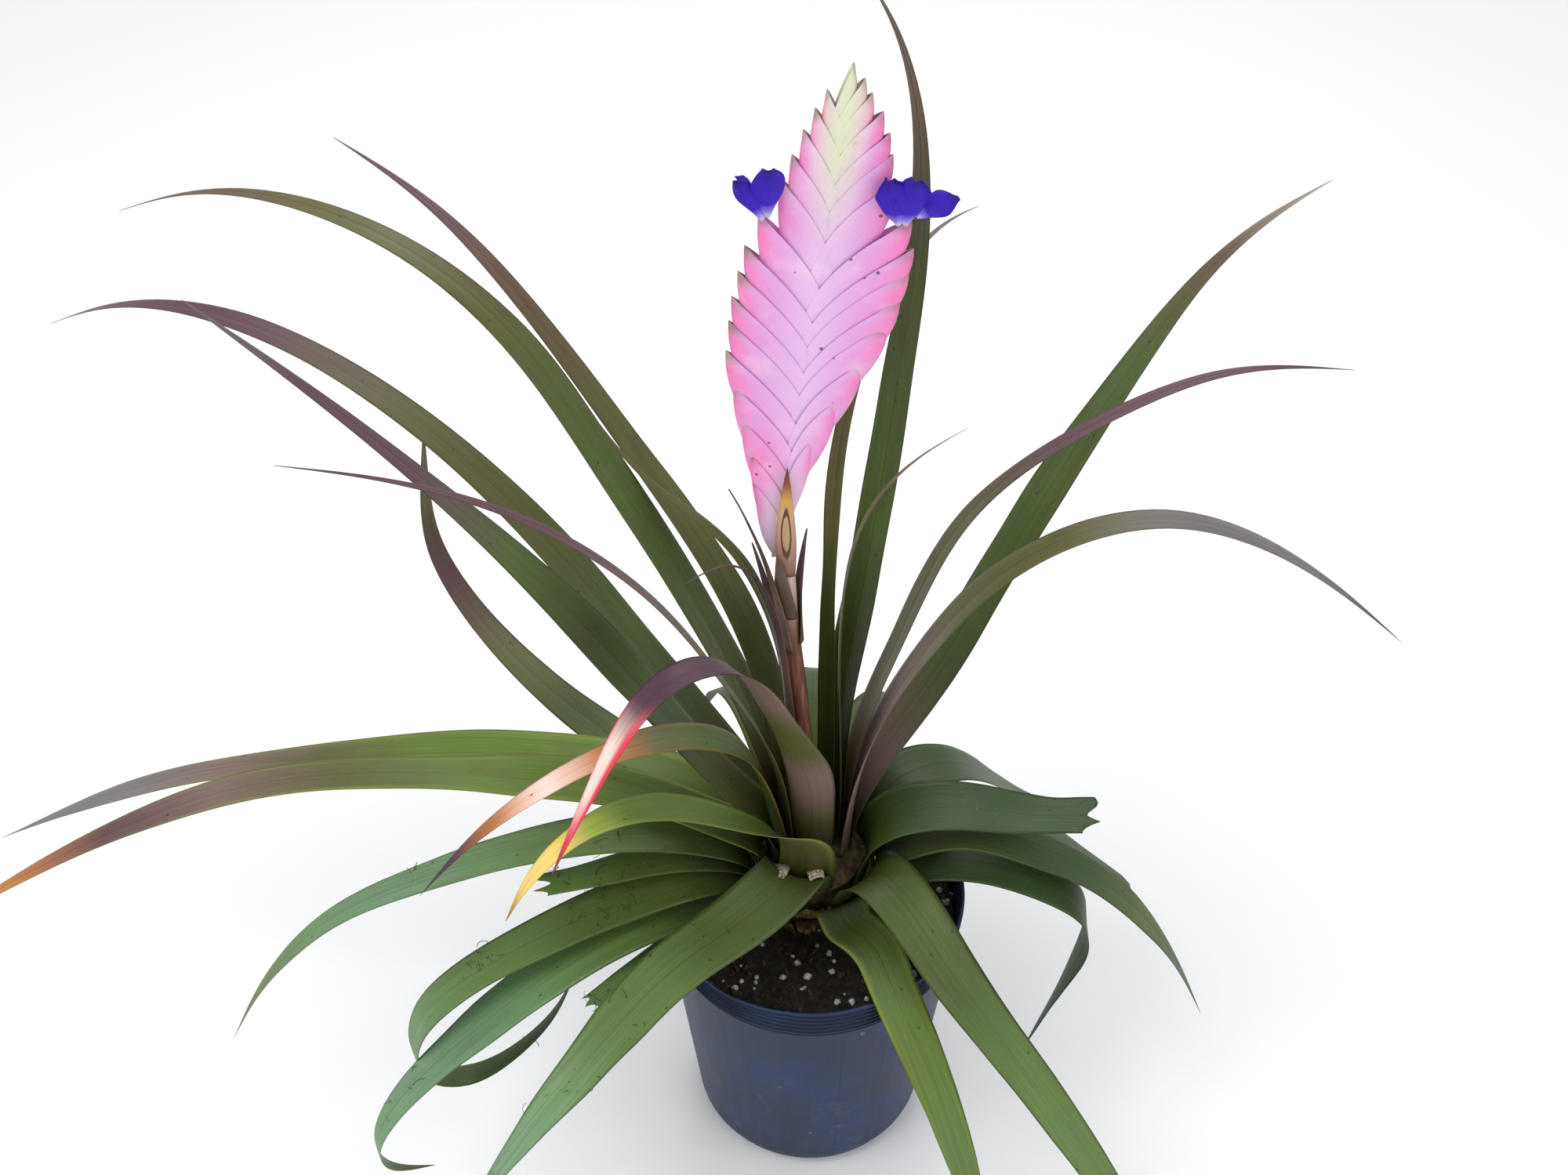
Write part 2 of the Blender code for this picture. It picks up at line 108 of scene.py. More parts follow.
# Each flower's petals: base, tip, facing direction, width, how deep it cups and how much it ruffles
PETALS = {
    "left_petal_1": ((-15, -3, 421), (-15, -7, 438), 285, 10, 2.2, 0.5),
    "left_petal_2": ((-17, -3, 420), (-24, -5, 434), 250, 7, 1.6, 0.5),
    "left_petal_3": ((-18, 0, 420), (-23, 3, 431), 200, 7, 1.6, 0.6),
    "right_petal_1": ((20, -4, 419), (17, -8, 434), 262, 10, 1.6, 1.6),
    "right_petal_2": ((22, -4, 419), (25, -8, 434), 285, 10, 1.6, 1.6),
    "right_petal_3": ((25, -3, 421), (36, -2, 427), 300, 8, 1.5, 0.8),
}

# Lights: name, place, disk size and power
LIGHTS = [("key", (-0.9, -0.5, 1.7), 1.2, 15.0), ("fill", (1.1, -0.9, 1.1), 1.4, 7.0),
          ("back", (0.1, 1.3, 1.5), 1.2, 9.0)]
LIT_POINT = Vector((0, 0, 0.22))
CAMERA_PLACE = (-0.011, -0.388, 0.626)
CAMERA_PITCH = 41.3
FLOOR_HALF = 6.0


def srgb(code):
    """A linear colour from a hexadecimal code."""
    parts = [int(code[i:i + 2], 16) / 255 for i in (0, 2, 4)]
    return tuple(c / 12.92 if c <= 0.04045 else ((c + 0.055) / 1.055) ** 2.4 for c in parts)


TINTS = {word: srgb(code) for word, code in {
    "soot": "15140b", "umber": "4a3a28", "bark": "5d4a38", "mauve": "75605a",
    "wine": "573a42", "olive": "55562a", "moss": "3a4517", "green": "4a5d27",
    "fern": "5b7439", "sage": "66895a", "pond": "6c8f6e", "lime": "8fa03c",
    "slate": "6f6b70", "forest": "31461f", "spruce": "2a3c1b", "grass": "5c7428",
    "salmon": "f4705f", "blush": "ffdcd2", "straw": "f0cf72", "tan": "b8763c",
    "plum": "4a2c3c", "rust": "8e4a2e", "silver": "9a968c", "rose": "e03a54",
}.items()}

# Each leaf's colour from its foot to its tip, and the colour of its margins
LEAF_TINTS = {
    "leaf_01": "umber bark bark mauve wine wine wine / wine",
    "leaf_02": "moss moss moss olive olive bark slate / olive",
    "leaf_03": "moss moss moss olive olive bark silver / olive",
    "leaf_04": "umber bark olive olive olive olive bark / olive",
    "leaf_05": "umber moss moss green green moss bark bark / olive",
    "leaf_06": "umber olive mauve mauve olive olive mauve mauve plum plum plum blush blush rose wine / rose",
    "leaf_07": "olive olive olive bark wine wine plum / wine",
    "leaf_08": "umber bark olive olive wine wine plum / wine",
    "leaf_09": "umber olive moss olive olive bark wine plum / bark",
    "leaf_10": "bark mauve mauve olive olive slate slate plum / mauve",
    "leaf_11": "umber olive green green olive olive bark bark / olive",
    "leaf_12": "umber mauve green green green green bark silver / bark",
    "leaf_13": "moss moss green olive green olive tan blush tan plum plum / tan",
    "leaf_14": "moss olive green moss green wine wine slate / moss",
    "leaf_15": "moss olive olive green grass grass grass grass lime straw straw rust / lime",
    "leaf_16": "moss moss green olive olive wine wine slate / olive",
    "leaf_17": "olive green green fern fern sage pond pond / fern",
    "leaf_18": "moss green green forest forest moss bark / olive",
    "leaf_19": "moss green green forest forest moss bark / olive",
    "leaf_20": "moss green green forest forest moss bark / olive",
    "leaf_21": "moss green grass grass olive mauve wine tan salmon / lime",
    "leaf_22": "moss grass grass grass olive mauve slate slate slate / lime",
    "leaf_23": "green green forest forest forest forest forest / green",
    "leaf_24": "moss moss forest forest forest forest moss / green",
    "leaf_25": "moss green green fern fern fern green / olive",
    "leaf_26": "moss green fern sage pond sage fern bark / fern",
    "leaf_27": "moss moss forest forest green forest forest / green",
    "leaf_28": "moss green grass grass fern fern fern / lime",
    "leaf_29": "moss moss forest forest forest forest spruce / forest",
    "leaf_30": "moss moss green green fern fern / green",
    "leaf_31": "moss green green moss olive wine olive bark / bark",
    "leaf_32": "moss green green fern sage green forest spruce / green",
    "leaf_33": "moss forest forest forest forest forest spruce / forest",
    "leaf_34": "green green fern sage pond pond sage bark / sage",
    "leaf_35": "moss green green forest forest moss bark / olive",
    "leaf_36": "green green green green fern fern / fern",
}

# What lies on the soil: shape, dark and pale colours, grain, and how many to a square metre, sizes and seed
SOIL_LITTER = [
    ("perlite", "grain", "8f8b86", "dcdad6", 900.0, (15000.0, 0.5, 1.7, 3)),
    ("bark_chips", "chip", "1c120b", "5a3d24", 700.0, (24000.0, 0.4, 1.3, 8)),
    ("moss_tufts", "hair", "3a3c14", "6d6a2c", 500.0, (40000.0, 0.3, 0.9, 5)),
]

# The leaves that root hairs have caught on, and how thickly
LITTERED = {"leaf_34": 0.5, "leaf_32": 0.8, "leaf_26": 0.5, "leaf_36": 0.6, "leaf_30": 0.5, "leaf_17": 0.15}


# ---------------------------------------------------------------- shader maths

class Value:
    """A shader socket that sums can be written on."""

    def __init__(self, finish, socket):
        self.finish = finish
        self.socket = socket

    def math(self, operation, *others):
        inputs = dict(enumerate((self, *others)))
        return self.finish.node("ShaderNodeMath", inputs, operation=operation)

    def __add__(self, other):
        return self.math("ADD", other)

    def __sub__(self, other):
        return self.math("SUBTRACT", other)

    def __mul__(self, other):
        return self.math("MULTIPLY", other)

    __radd__ = __add__

    def clamped(self):
        return self.math("MAXIMUM", 0.0).math("MINIMUM", 1.0)

    def band(self, low, high):
        """0 below `low`, 1 above `high` and smooth between; turned round where low is above high."""
        inputs = {0: self, 1: low, 2: high, 3: 0.0, 4: 1.0}
        return self.finish.node("ShaderNodeMapRange", inputs, interpolation_type="SMOOTHSTEP")


class Finish:
    """A material and the nodes that make it."""

    def __init__(self, name):
        self.material = bpy.data.materials.new(name)
        self.material.use_nodes = True
        self.tree = self.material.node_tree
        self.surface = self.tree.nodes["Principled BSDF"]

    def feed(self, socket, value):
        if isinstance(value, str):
            value = srgb(value)
        if isinstance(value, Value):
            self.tree.links.new(value.socket, socket)
        elif isinstance(value, tuple) and len(value) == 3 and socket.type == "RGBA":
            socket.default_value = (*value, 1.0)
        else:
            socket.default_value = value

    def node(self, kind, inputs=None, output=0, **settings):
        made = self.tree.nodes.new(kind)
        for name, value in settings.items():
            setattr(made, name, value)
        for name, value in (inputs or {}).items():
            self.feed(made.inputs[name], value)
        return Value(self, made.outputs[output])

    def ramp(self, value, stops):
        """Colours along `value`: `stops` holds their places and codes."""
        made = self.node("ShaderNodeValToRGB", {0: value})
        elements = made.socket.node.color_ramp.elements
        while len(elements) < len(stops):
            elements.new(1.0)
        for element, (place, colour) in zip(elements, stops):
            element.position = place
            element.color = (*srgb(colour), 1.0)
        return made

    def place(self):
        return self.node("ShaderNodeTexCoord", output=3)

    def uv(self):
        return self.node("ShaderNodeUVMap", uv_map="UVMap")

    def tint(self):
        return self.node("ShaderNodeAttribute", attribute_name="tint")

    def parts(self, vector):
        split = self.tree.nodes.new("ShaderNodeSeparateXYZ")
        self.feed(split.inputs[0], vector)
        return [Value(self, socket) for socket in split.outputs]

    def joined(self, x, y, z=0.0):
        return self.node("ShaderNodeCombineXYZ", {0: x, 1: y, 2: z})

    def scaled(self, vector, sizes):
        return self.node("ShaderNodeVectorMath", {0: vector, 1: sizes}, operation="MULTIPLY")

    def noise(self, vector, scale, detail=4.0, roughness=0.5):
        inputs = {"Vector": vector, "Scale": scale, "Detail": detail, "Roughness": roughness}
        return self.node("ShaderNodeTexNoise", inputs)

    def cells(self, vector, scale, output=0):
        return self.node("ShaderNodeTexVoronoi", {"Vector": vector, "Scale": scale}, output)

    def mix(self, factor, low, high, blend="MIX"):
        return self.node("ShaderNodeMix", {0: factor, 6: low, 7: high}, 2, data_type="RGBA", blend_type=blend)

    def shade(self, factor, colour, share):
        """`colour` times `share`, as far as `factor` says."""
        return self.mix(factor, colour, self.mix(1.0, colour, share, "MULTIPLY"))

    def bump(self, height, strength, distance):
        return self.node("ShaderNodeBump", {"Strength": strength, "Distance": distance, "Height": height})

    def specks(self, vector, scale, size, share):
        """Small irregular spots: `share` of the cells of a pattern hold one."""
        near = self.cells(vector, scale).band(size, size * 0.55)
        chosen = self.parts(self.cells(vector, scale, 1))[0].band(1 - share - 0.01, 1 - share + 0.01)
        return near * chosen

    def finish(self, colour, roughness, normal=None, **sockets):
        self.feed(self.surface.inputs["Base Color"], colour)
        self.feed(self.surface.inputs["Roughness"], roughness)
        if normal is not None:
            self.feed(self.surface.inputs["Normal"], normal)
        for name, value in sockets.items():
            self.feed(self.surface.inputs[name.replace("_", " ")], value)
        return self.material


def leaf_finish(name, lines, mottle, roughness):
    """Leaf skin: its colour comes with the piece; fine veins run lengthwise, with blotches and specks."""
    made = Finish(name)
    uv = made.uv()
    tint = made.tint()
    across = made.parts(uv)[0]
    veins = made.noise(made.scaled(uv, (15.0, 0.12, 1.0)), 1.0, 3.0)
    broad = made.noise(made.scaled(uv, (1.5, 0.3, 1.0)), 1.0, 3.0)
    blotch = made.noise(made.place(), 28.0, 5.0, 0.6)
    colour = made.shade(veins.band(0.42, 0.68) * lines, tint, (0.7, 0.7, 0.6))
    colour = made.shade(veins.band(0.56, 0.3) * (lines * 0.5), colour, (1.35, 1.3, 1.15))
    colour = made.shade(broad.band(0.45, 0.75) * mottle, colour, (0.8, 0.62, 0.6))
    colour = made.shade(blotch.band(0.5, 0.75) * (mottle * 0.8), colour, (1.45, 1.35, 1.1))
    # painted shade: the channel down the midrib is darkened, and the same mask sinks it in the bump
    shaded_midrib = across.math("ABSOLUTE").band(0.07, 0.0)
    colour = made.shade(shaded_midrib * 0.3, colour, (0.6, 0.62, 0.55))
    spots = made.specks(made.scaled(uv, (1.0, 0.6, 1.0)), 3.2, 0.16, 0.16)
    colour = made.mix(spots * 0.75, colour, TINTS["soot"])
    dust = made.specks(uv, 9.0, 0.2, 0.12)
    colour = made.mix(dust * 0.35, colour, TINTS["silver"])
    height = veins * 0.7 + broad * 0.3 - shaded_midrib * 0.6
    gloss = (veins * 0.16 + blotch * 0.2 + (roughness - 0.18)).clamped()
    return made.finish(colour, gloss, made.bump(height, 0.22, 0.4 * MM), Specular_IOR_Level=0.4)


def bract_finish():
    """Waxy pink bracts: hot pink at the edges, lilac in the middle and cream green up the centre."""
    made = Finish("spike_bract_skin")
    tint = made.tint()
    uv = made.uv()
    veins = made.noise(made.scaled(uv, (30.0, 2.5, 1.0)), 1.0, 2.0)
    cloud = made.noise(made.place(), 90.0, 4.0, 0.55)
    colour = made.shade(veins.band(0.45, 0.75) * 0.22, tint, (0.86, 0.7, 0.82))
    colour = made.mix(cloud.band(0.5, 0.8) * 0.35, colour, "f3dcec")
    spots = made.specks(made.place(), 260.0, 0.19, 0.09)
    colour = made.mix(spots * 0.85, colour, "6b3a2a")
    stains = made.specks(made.place(), 120.0, 0.2, 0.1)
    colour = made.mix(stains * 0.6, colour, "b99a55")
    return made.finish(colour, 0.5 + cloud * 0.12, made.bump(veins * 0.6 + cloud * 0.4, 0.25, 0.3 * MM),
                       Subsurface_Weight=0.12, Subsurface_Radius=(0.004, 0.002, 0.003),
                       Specular_IOR_Level=0.35)


def petal_finish():
    """Petals that are pale at the claw and deep violet blue beyond it."""
    made = Finish("petal_skin")
    uv = made.uv()
    along = made.parts(uv)[1]
    veins = made.noise(made.scaled(uv, (14.0, 1.2, 1.0)), 1.0, 2.0)
    cloud = made.noise(made.place(), 160.0, 3.0)
    colour = made.ramp(along, [(0.0, "e6dff2"), (0.12, "9c86e4"), (0.26, "3d1cc0"), (0.75, "3313ae"),
                               (1.0, "220c76")])
    colour = made.mix(veins.band(0.45, 0.75) * 0.5, colour, "2a1290")
    colour = made.mix(cloud.band(0.55, 0.75) * 0.3, colour, "5230e0")
    return made.finish(colour, 0.55 + cloud * 0.1, made.bump(veins, 0.4, 0.4 * MM),
                       Specular_IOR_Level=0.25)


def stalk_finish():
    """The stalk is cream under the spike and reddish brown lower down."""
    made = Finish("stalk_skin")
    place = made.place()
    up = made.parts(place)[2]
    fibres = made.noise(made.scaled(place, (900.0, 900.0, 60.0)), 1.0, 3.0)
    colour = made.mix(up.band(0.262, 0.3), "6b3f2e", "e8cfc2")
    colour = made.mix(fibres.band(0.45, 0.7) * 0.4, colour, "a9786a")
    return made.finish(colour, 0.5 + fibres * 0.1, made.bump(fibres, 0.3, 0.3 * MM))


def stalk_bract_finish():
    """Papery, finely veined bracts; their colour comes with the piece."""
    made = Finish("stalk_bract_skin")
    uv = made.uv()
    tint = made.tint()
    veins = made.noise(made.scaled(uv, (14.0, 0.8, 1.0)), 1.0, 3.0)
    cloud = made.noise(made.place(), 120.0, 3.0)
    colour = made.shade(veins.band(0.4, 0.7) * 0.5, tint, (0.62, 0.55, 0.5))
    colour = made.mix(cloud.band(0.5, 0.75) * 0.3, colour, "a98c62")
    return made.finish(colour, 0.5 + cloud * 0.1, made.bump(veins, 0.35, 0.3 * MM))


def scar_bract_finish():
    """The small bract at the spike's foot: a yellow tip, and an oval brown scar with a pale middle."""
    made = Finish("scar_bract_skin")
    uv = made.uv()
    across, along, _ = made.parts(uv)
    veins = made.noise(made.scaled(uv, (12.0, 1.5, 1.0)), 1.0, 3.0)
    oval = made.joined(across * 1.55, (along - 0.42) * 3.3)
    ring = made.node("ShaderNodeVectorMath", {0: oval}, 1, operation="LENGTH") + veins * 0.25
    colour = made.ramp(along, [(0.0, "7d5a48"), (0.35, "b98f7c"), (0.6, "caa07a"), (0.72, "cf9a44"),
                               (0.86, "8a4a3c"), (1.0, "4a2028")])
    scar = ring.band(0.62, 0.72) * ring.band(0.98, 0.86)
    colour = made.mix(scar * 0.95, colour, "4a2c12")
    colour = made.mix(ring.band(0.62, 0.5), colour, "b59a6e")
    colour = made.mix(veins.band(0.5, 0.75) * 0.4, colour, "7d5638")
    return made.finish(colour, 0.55 + veins * 0.1, made.bump(veins - scar * 0.5, 0.4, 0.3 * MM))


def film_finish():
    """Thin navy black film: painted shade in its creases and rib grooves, scuffs, and dust low down."""
    made = Finish("pot_film_skin")
    place = made.place()
    x, y, up = made.parts(place)
    angle = x.math("ARCTAN2", y)
    streaks = made.noise(made.joined(angle * 9.0, up * 5.0), 1.0, 3.0)
    cloud = made.noise(place, 26.0, 5.0, 0.6)
    scuffs = made.noise(made.joined(angle * 7.0, up * 420.0), 1.0, 3.0, 0.7)
    colour = made.mix(cloud.band(0.35, 0.7), "0d1832", "182a54")
    colour = made.mix(streaks.band(0.5, 0.8) * 0.3, colour, "2a2f3c")
    # painted shade: the valleys between the ribs under the rim are darkened, and the same mask sinks them in
    # the bump
    shaded_groove = (up * (2 * pi / RIB_PITCH)).math("SINE").band(0.55, 0.95) * up.band(0.1125, 0.1135)
    colour = made.mix(shaded_groove * 0.9, colour, "04060b")
    # painted shade: fine dark lines down the wall where the film creases
    for turn in (-2.95, -2.62, 2.4, 1.1, -0.4, 0.7):
        crease_shade = (angle + turn + streaks * 0.02).math("ABSOLUTE").band(0.012, 0.004)
        colour = made.mix(crease_shade * up.band(0.114, 0.11) * 0.5, colour, "060912")
    dusty = up.band(0.08, 0.0) * scuffs.band(0.56, 0.68) * cloud.band(0.4, 0.6)
    colour = made.mix(dusty * 0.5, colour, "7d7f82")
    grey = made.noise(made.joined(angle * 3.0, up * 30.0), 1.0, 5.0, 0.7).band(0.55, 0.75)
    colour = made.mix(grey * up.band(0.105, 0.03) * 0.4, colour, "5f6064")
    specks = made.specks(place, 160.0, 0.2, 0.05)
    colour = made.mix(specks * 0.5, colour, "8d8678")
    rough = (0.34 + cloud * 0.14 + dusty * 0.3 + streaks * 0.1).clamped()
    height = streaks * 0.8 + cloud * 0.4 - shaded_groove * 0.5
    return made.finish(colour, rough, made.bump(height, 0.25, 1.0 * MM), Specular_IOR_Level=0.42,
                       Specular_Tint=(0.6, 0.75, 1.0, 1.0))


def soil_finish():
    """Dark crumbs with brown lumps and a little green."""
    made = Finish("soil_skin")
    place = made.place()
    crumbs = made.noise(place, 420.0, 6.0, 0.7)
    lumps = made.noise(place, 90.0, 4.0)
    colour = made.mix(crumbs.band(0.4, 0.65), "0d0b09", "33271d")
    colour = made.mix(lumps.band(0.58, 0.75) * 0.5, colour, "4b3a26")
    green = made.noise(place, 55.0, 3.0).band(0.6, 0.72) * crumbs.band(0.45, 0.6)
    colour = made.mix(green * 0.5, colour, "3d4a1c")
    return made.finish(colour, 0.95, made.bump(crumbs + lumps, 0.9, 1.5 * MM))


def grain_finish(name, dark, pale, scale):
    """A dry, pitted material between two colours."""
    made = Finish(name)
    place = made.place()
    pits = made.noise(place, scale, 4.0, 0.7)
    colour = made.mix(pits.band(0.35, 0.65), dark, pale)
    return made.finish(colour, 0.85 + pits * 0.1, made.bump(pits, 0.6, 0.5 * MM))


def stem_finish():
    """The old stem: brown fibres with moss between the leaf scars."""
    made = Finish("old_stem_skin")
    place = made.place()
    up = made.parts(place)[2]
    fibres = made.noise(made.scaled(place, (260.0, 260.0, 60.0)), 1.0, 5.0, 0.65)
    moss = made.noise(place, 130.0, 4.0, 0.6)
    rings = (up * 900.0 + fibres * 4.0).math("SINE").band(0.2, 0.9)
    colour = made.mix(fibres.band(0.35, 0.65), "221a10", "5c4a2c")
    colour = made.mix(moss.band(0.5, 0.64) * 0.8, colour, "59602a")
    colour = made.mix(rings * 0.4, colour, "1a130c")
    return made.finish(colour, 0.9, made.bump(fibres + moss * 0.5 - rings * 0.4, 0.8, 1.2 * MM))


# ---------------------------------------------------------------- shapes

def natural_cubic(at, points, wanted):
    """A natural cubic through `points`, read at `wanted`."""
    at = np.asarray(at, float)
    points = np.asarray(points, float).reshape(len(at), -1)
    step = np.diff(at)
    count = len(at)
    system = np.eye(count)
    bend = np.zeros_like(points)
    for i in range(1, count - 1):
        system[i, i - 1:i + 2] = step[i - 1], 2 * (step[i - 1] + step[i]), step[i]
        bend[i] = 6 * ((points[i + 1] - points[i]) / step[i] - (points[i] - points[i - 1]) / step[i - 1])
    curvature = np.linalg.solve(system, bend)
    wanted = np.asarray(wanted, float)
    i = np.clip(np.searchsorted(at, wanted, side="right") - 1, 0, count - 2)
    width = step[i][:, None]
    a = (at[i + 1] - wanted)[:, None] / width
    b = (wanted - at[i])[:, None] / width
    lift = (a ** 3 - a) * curvature[i] + (b ** 3 - b) * curvature[i + 1]
    return a * points[i] + b * points[i + 1] + lift * width ** 2 / 6


def unit(vectors):
    return vectors / np.maximum(np.linalg.norm(vectors, axis=-1, keepdims=True), 1e-12)


def wander(count, seed, knots, size):
    """A smooth random line of `count` values about nought."""
    values = np.random.default_rng(seed).normal(0, size, knots)
    return natural_cubic(np.linspace(0, 1, knots), values, np.linspace(0, 1, count))[:, 0]


def piece(name, vertices, faces, finish, replaced=(), uv=None, tint=None):
    """A smooth closed mesh, riding on the frame, that stands for the CAD nodes in `replaced`."""
    mesh = bpy.data.meshes.new(name)
    mesh.from_pydata([tuple(map(float, v)) for v in vertices], [], [tuple(map(int, f)) for f in faces])
    if uv is not None:
        layer = mesh.uv_layers.new(name="UVMap")
        order = np.zeros(len(mesh.loops), np.int32)
        mesh.loops.foreach_get("vertex_index", order)
        layer.data.foreach_set("uv", np.asarray(uv, np.float32)[order].ravel())
    if tint is not None:
        layer = mesh.color_attributes.new("tint", "FLOAT_COLOR", "POINT")
        layer.data.foreach_set("color", np.c_[tint, np.ones(len(tint))].astype(np.float32).ravel())
    mesh.validate()
    recalculated(mesh)
    mesh.shade_smooth()
    return settle(bpy.data.objects.new(name, mesh), finish, replaced)


def linked(name, data):
    """An object for a mesh, light or camera, in the scene."""
    made = bpy.data.objects.new(name, data)
    bpy.context.scene.collection.objects.link(made)
    return made


def settle(made, finish, replaced):
    """Put a finished object on the frame, with its material and what it stands for."""
    if made.name not in bpy.context.scene.objects:
        bpy.context.scene.collection.objects.link(made)
    made.data.materials.clear()
    made.data.materials.append(finish)
    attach(made, "root")
    if replaced:
        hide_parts(*replaced)
    return made


def recalculated(mesh):
    """Join points that coincide, and turn every face outward."""
    work = bmesh.new()
    work.from_mesh(mesh)
    bmesh.ops.remove_doubles(work, verts=work.verts, dist=1e-7)
    bmesh.ops.recalc_face_normals(work, faces=work.faces)
    work.to_mesh(mesh)
    work.free()


def turns(sides):
    """`sides` equal angles round a circle."""
    return [2 * pi * k / sides for k in range(sides)]


def tube_faces(rows, sides, capped=True):
    """The faces of a tube of `rows` rings with `sides` points each, and of its two ends."""
    faces = []
    for i in range(rows - 1):
        for k in range(sides):
            a, b = i * sides + k, i * sides + (k + 1) % sides
            faces.append((a, b, b + sides, a + sides))
    if capped:
        faces += [tuple(range(sides))[::-1], tuple(range((rows - 1) * sides, rows * sides))]
    return faces


def shell_faces(rows, width):
    """The faces of a thin closed shell: two grids of points, joined all round their rim."""
    second = rows * width
    faces = []
    for a in (i * width + k for i in range(rows - 1) for k in range(width - 1)):
        b, c, d = a + 1, a + 1 + width, a + width
        faces += [(a, b, c, d), (second + a, second + d, second + c, second + b)]
    rim = [(i * width + k, (i + 1) * width + k) for i in range(rows - 1) for k in (0, width - 1)]
    rim += [(i * width + k, i * width + k + 1) for i in (0, rows - 1) for k in range(width - 1)]
    return faces + [(a, b, second + b, second + a) for a, b in rim]


def ramp(values, low, high):
    """0 at `low` and 1 at `high`, straight between and level beyond."""
    return np.clip((values - low) / (high - low), 0, 1)


def along_table(at, stops, run):
    """The rows of `stops`, given at `at`, read at `run`."""
    return np.stack([np.interp(run, at, stops[:, k]) for k in range(3)], -1)


def leaf_sections(node):
    """The CAD leaf's sections from foot to tip, eight points each, and its tip if it has a point."""
    work = bmesh.new()
    work.from_mesh(node.data)
    bmesh.ops.remove_doubles(work, verts=work.verts, dist=1e-6)
    inner = [v for v in work.verts if hypot(v.co.x, v.co.y) < STEM_REGION]
    levels = [sorted(inner, key=lambda v: v.co.z)[:SECTION_POINTS]]
    seen = set(levels[0])
    while len(seen) < len(work.verts):
        near = {e.other_vert(v) for v in levels[-1] for e in v.link_edges} - seen
        seen |= near
        levels.append(sorted(near, key=lambda v: v.co[:]))
    rings = [np.array([v.co[:] for v in level]) for level in levels]
    work.free()
    if len(rings[-1]) == 1:
        return rings[:-1], rings[-1][0]
    return rings, None


def leaf_frame(sections):
    """Midrib points, directions across, half chords, channel depths and thicknesses of the sections."""
    mids, acrosses, depths, thick = [], [], [], []
    for ring in sections:
        spread = np.linalg.norm(ring[:, None] - ring[None], axis=-1)
        i, j = np.unravel_index(spread.argmax(), spread.shape)
        across = ring[j] - ring[i]
        if acrosses and across @ acrosses[-1] < 0:
            across = -across
        chord = (ring[i] + ring[j]) / 2
        rest = [k for k in range(SECTION_POINTS) if k not in (i, j)]
        rest.sort(key=lambda k: abs((ring[k] - chord) @ across))
        mid = (ring[rest[0]] + ring[rest[1]]) / 2
        mids.append(mid)
        acrosses.append(across)
        depths.append(chord - mid)
        thick.append(np.linalg.norm(ring[rest[0]] - ring[rest[1]]))
    return [np.array(x) for x in (mids, acrosses, depths, thick)]


def leaf_colours(name, run, across, length):
    """Colours over a leaf: along it from the table, paler or redder margins, and painted shade darkening its
    foot in the crown.
    """
    words, margin = LEAF_TINTS[name].split(" / ")
    stops = np.array([TINTS[word] for word in words.split()])
    colour = along_table(np.linspace(0, 1, len(stops)), stops, run)
    if margin == "rose":
        edge = ramp(run, 0.7, 0.75) * ramp(run, 1.0, 0.9) * ramp(np.abs(across + 0.25), 0.4, 0.9)
    else:
        edge = ramp(np.abs(across), 0.72, 1.0) ** 1.5 * np.clip(1.25 - run, 0, 1)
        edge = edge * (0.75 if margin == "lime" else 0.4)
    colour = colour + (np.array(TINTS[margin]) - colour) * edge[:, None]
    # painted shade: the foot of each leaf, where it sits deep in the crown, is darkened
    foot_shade = ramp(run * length, SHADED_FOOT_LENGTH, 0)
    return colour * (1 - 0.55 * foot_shade ** 1.4)[:, None]


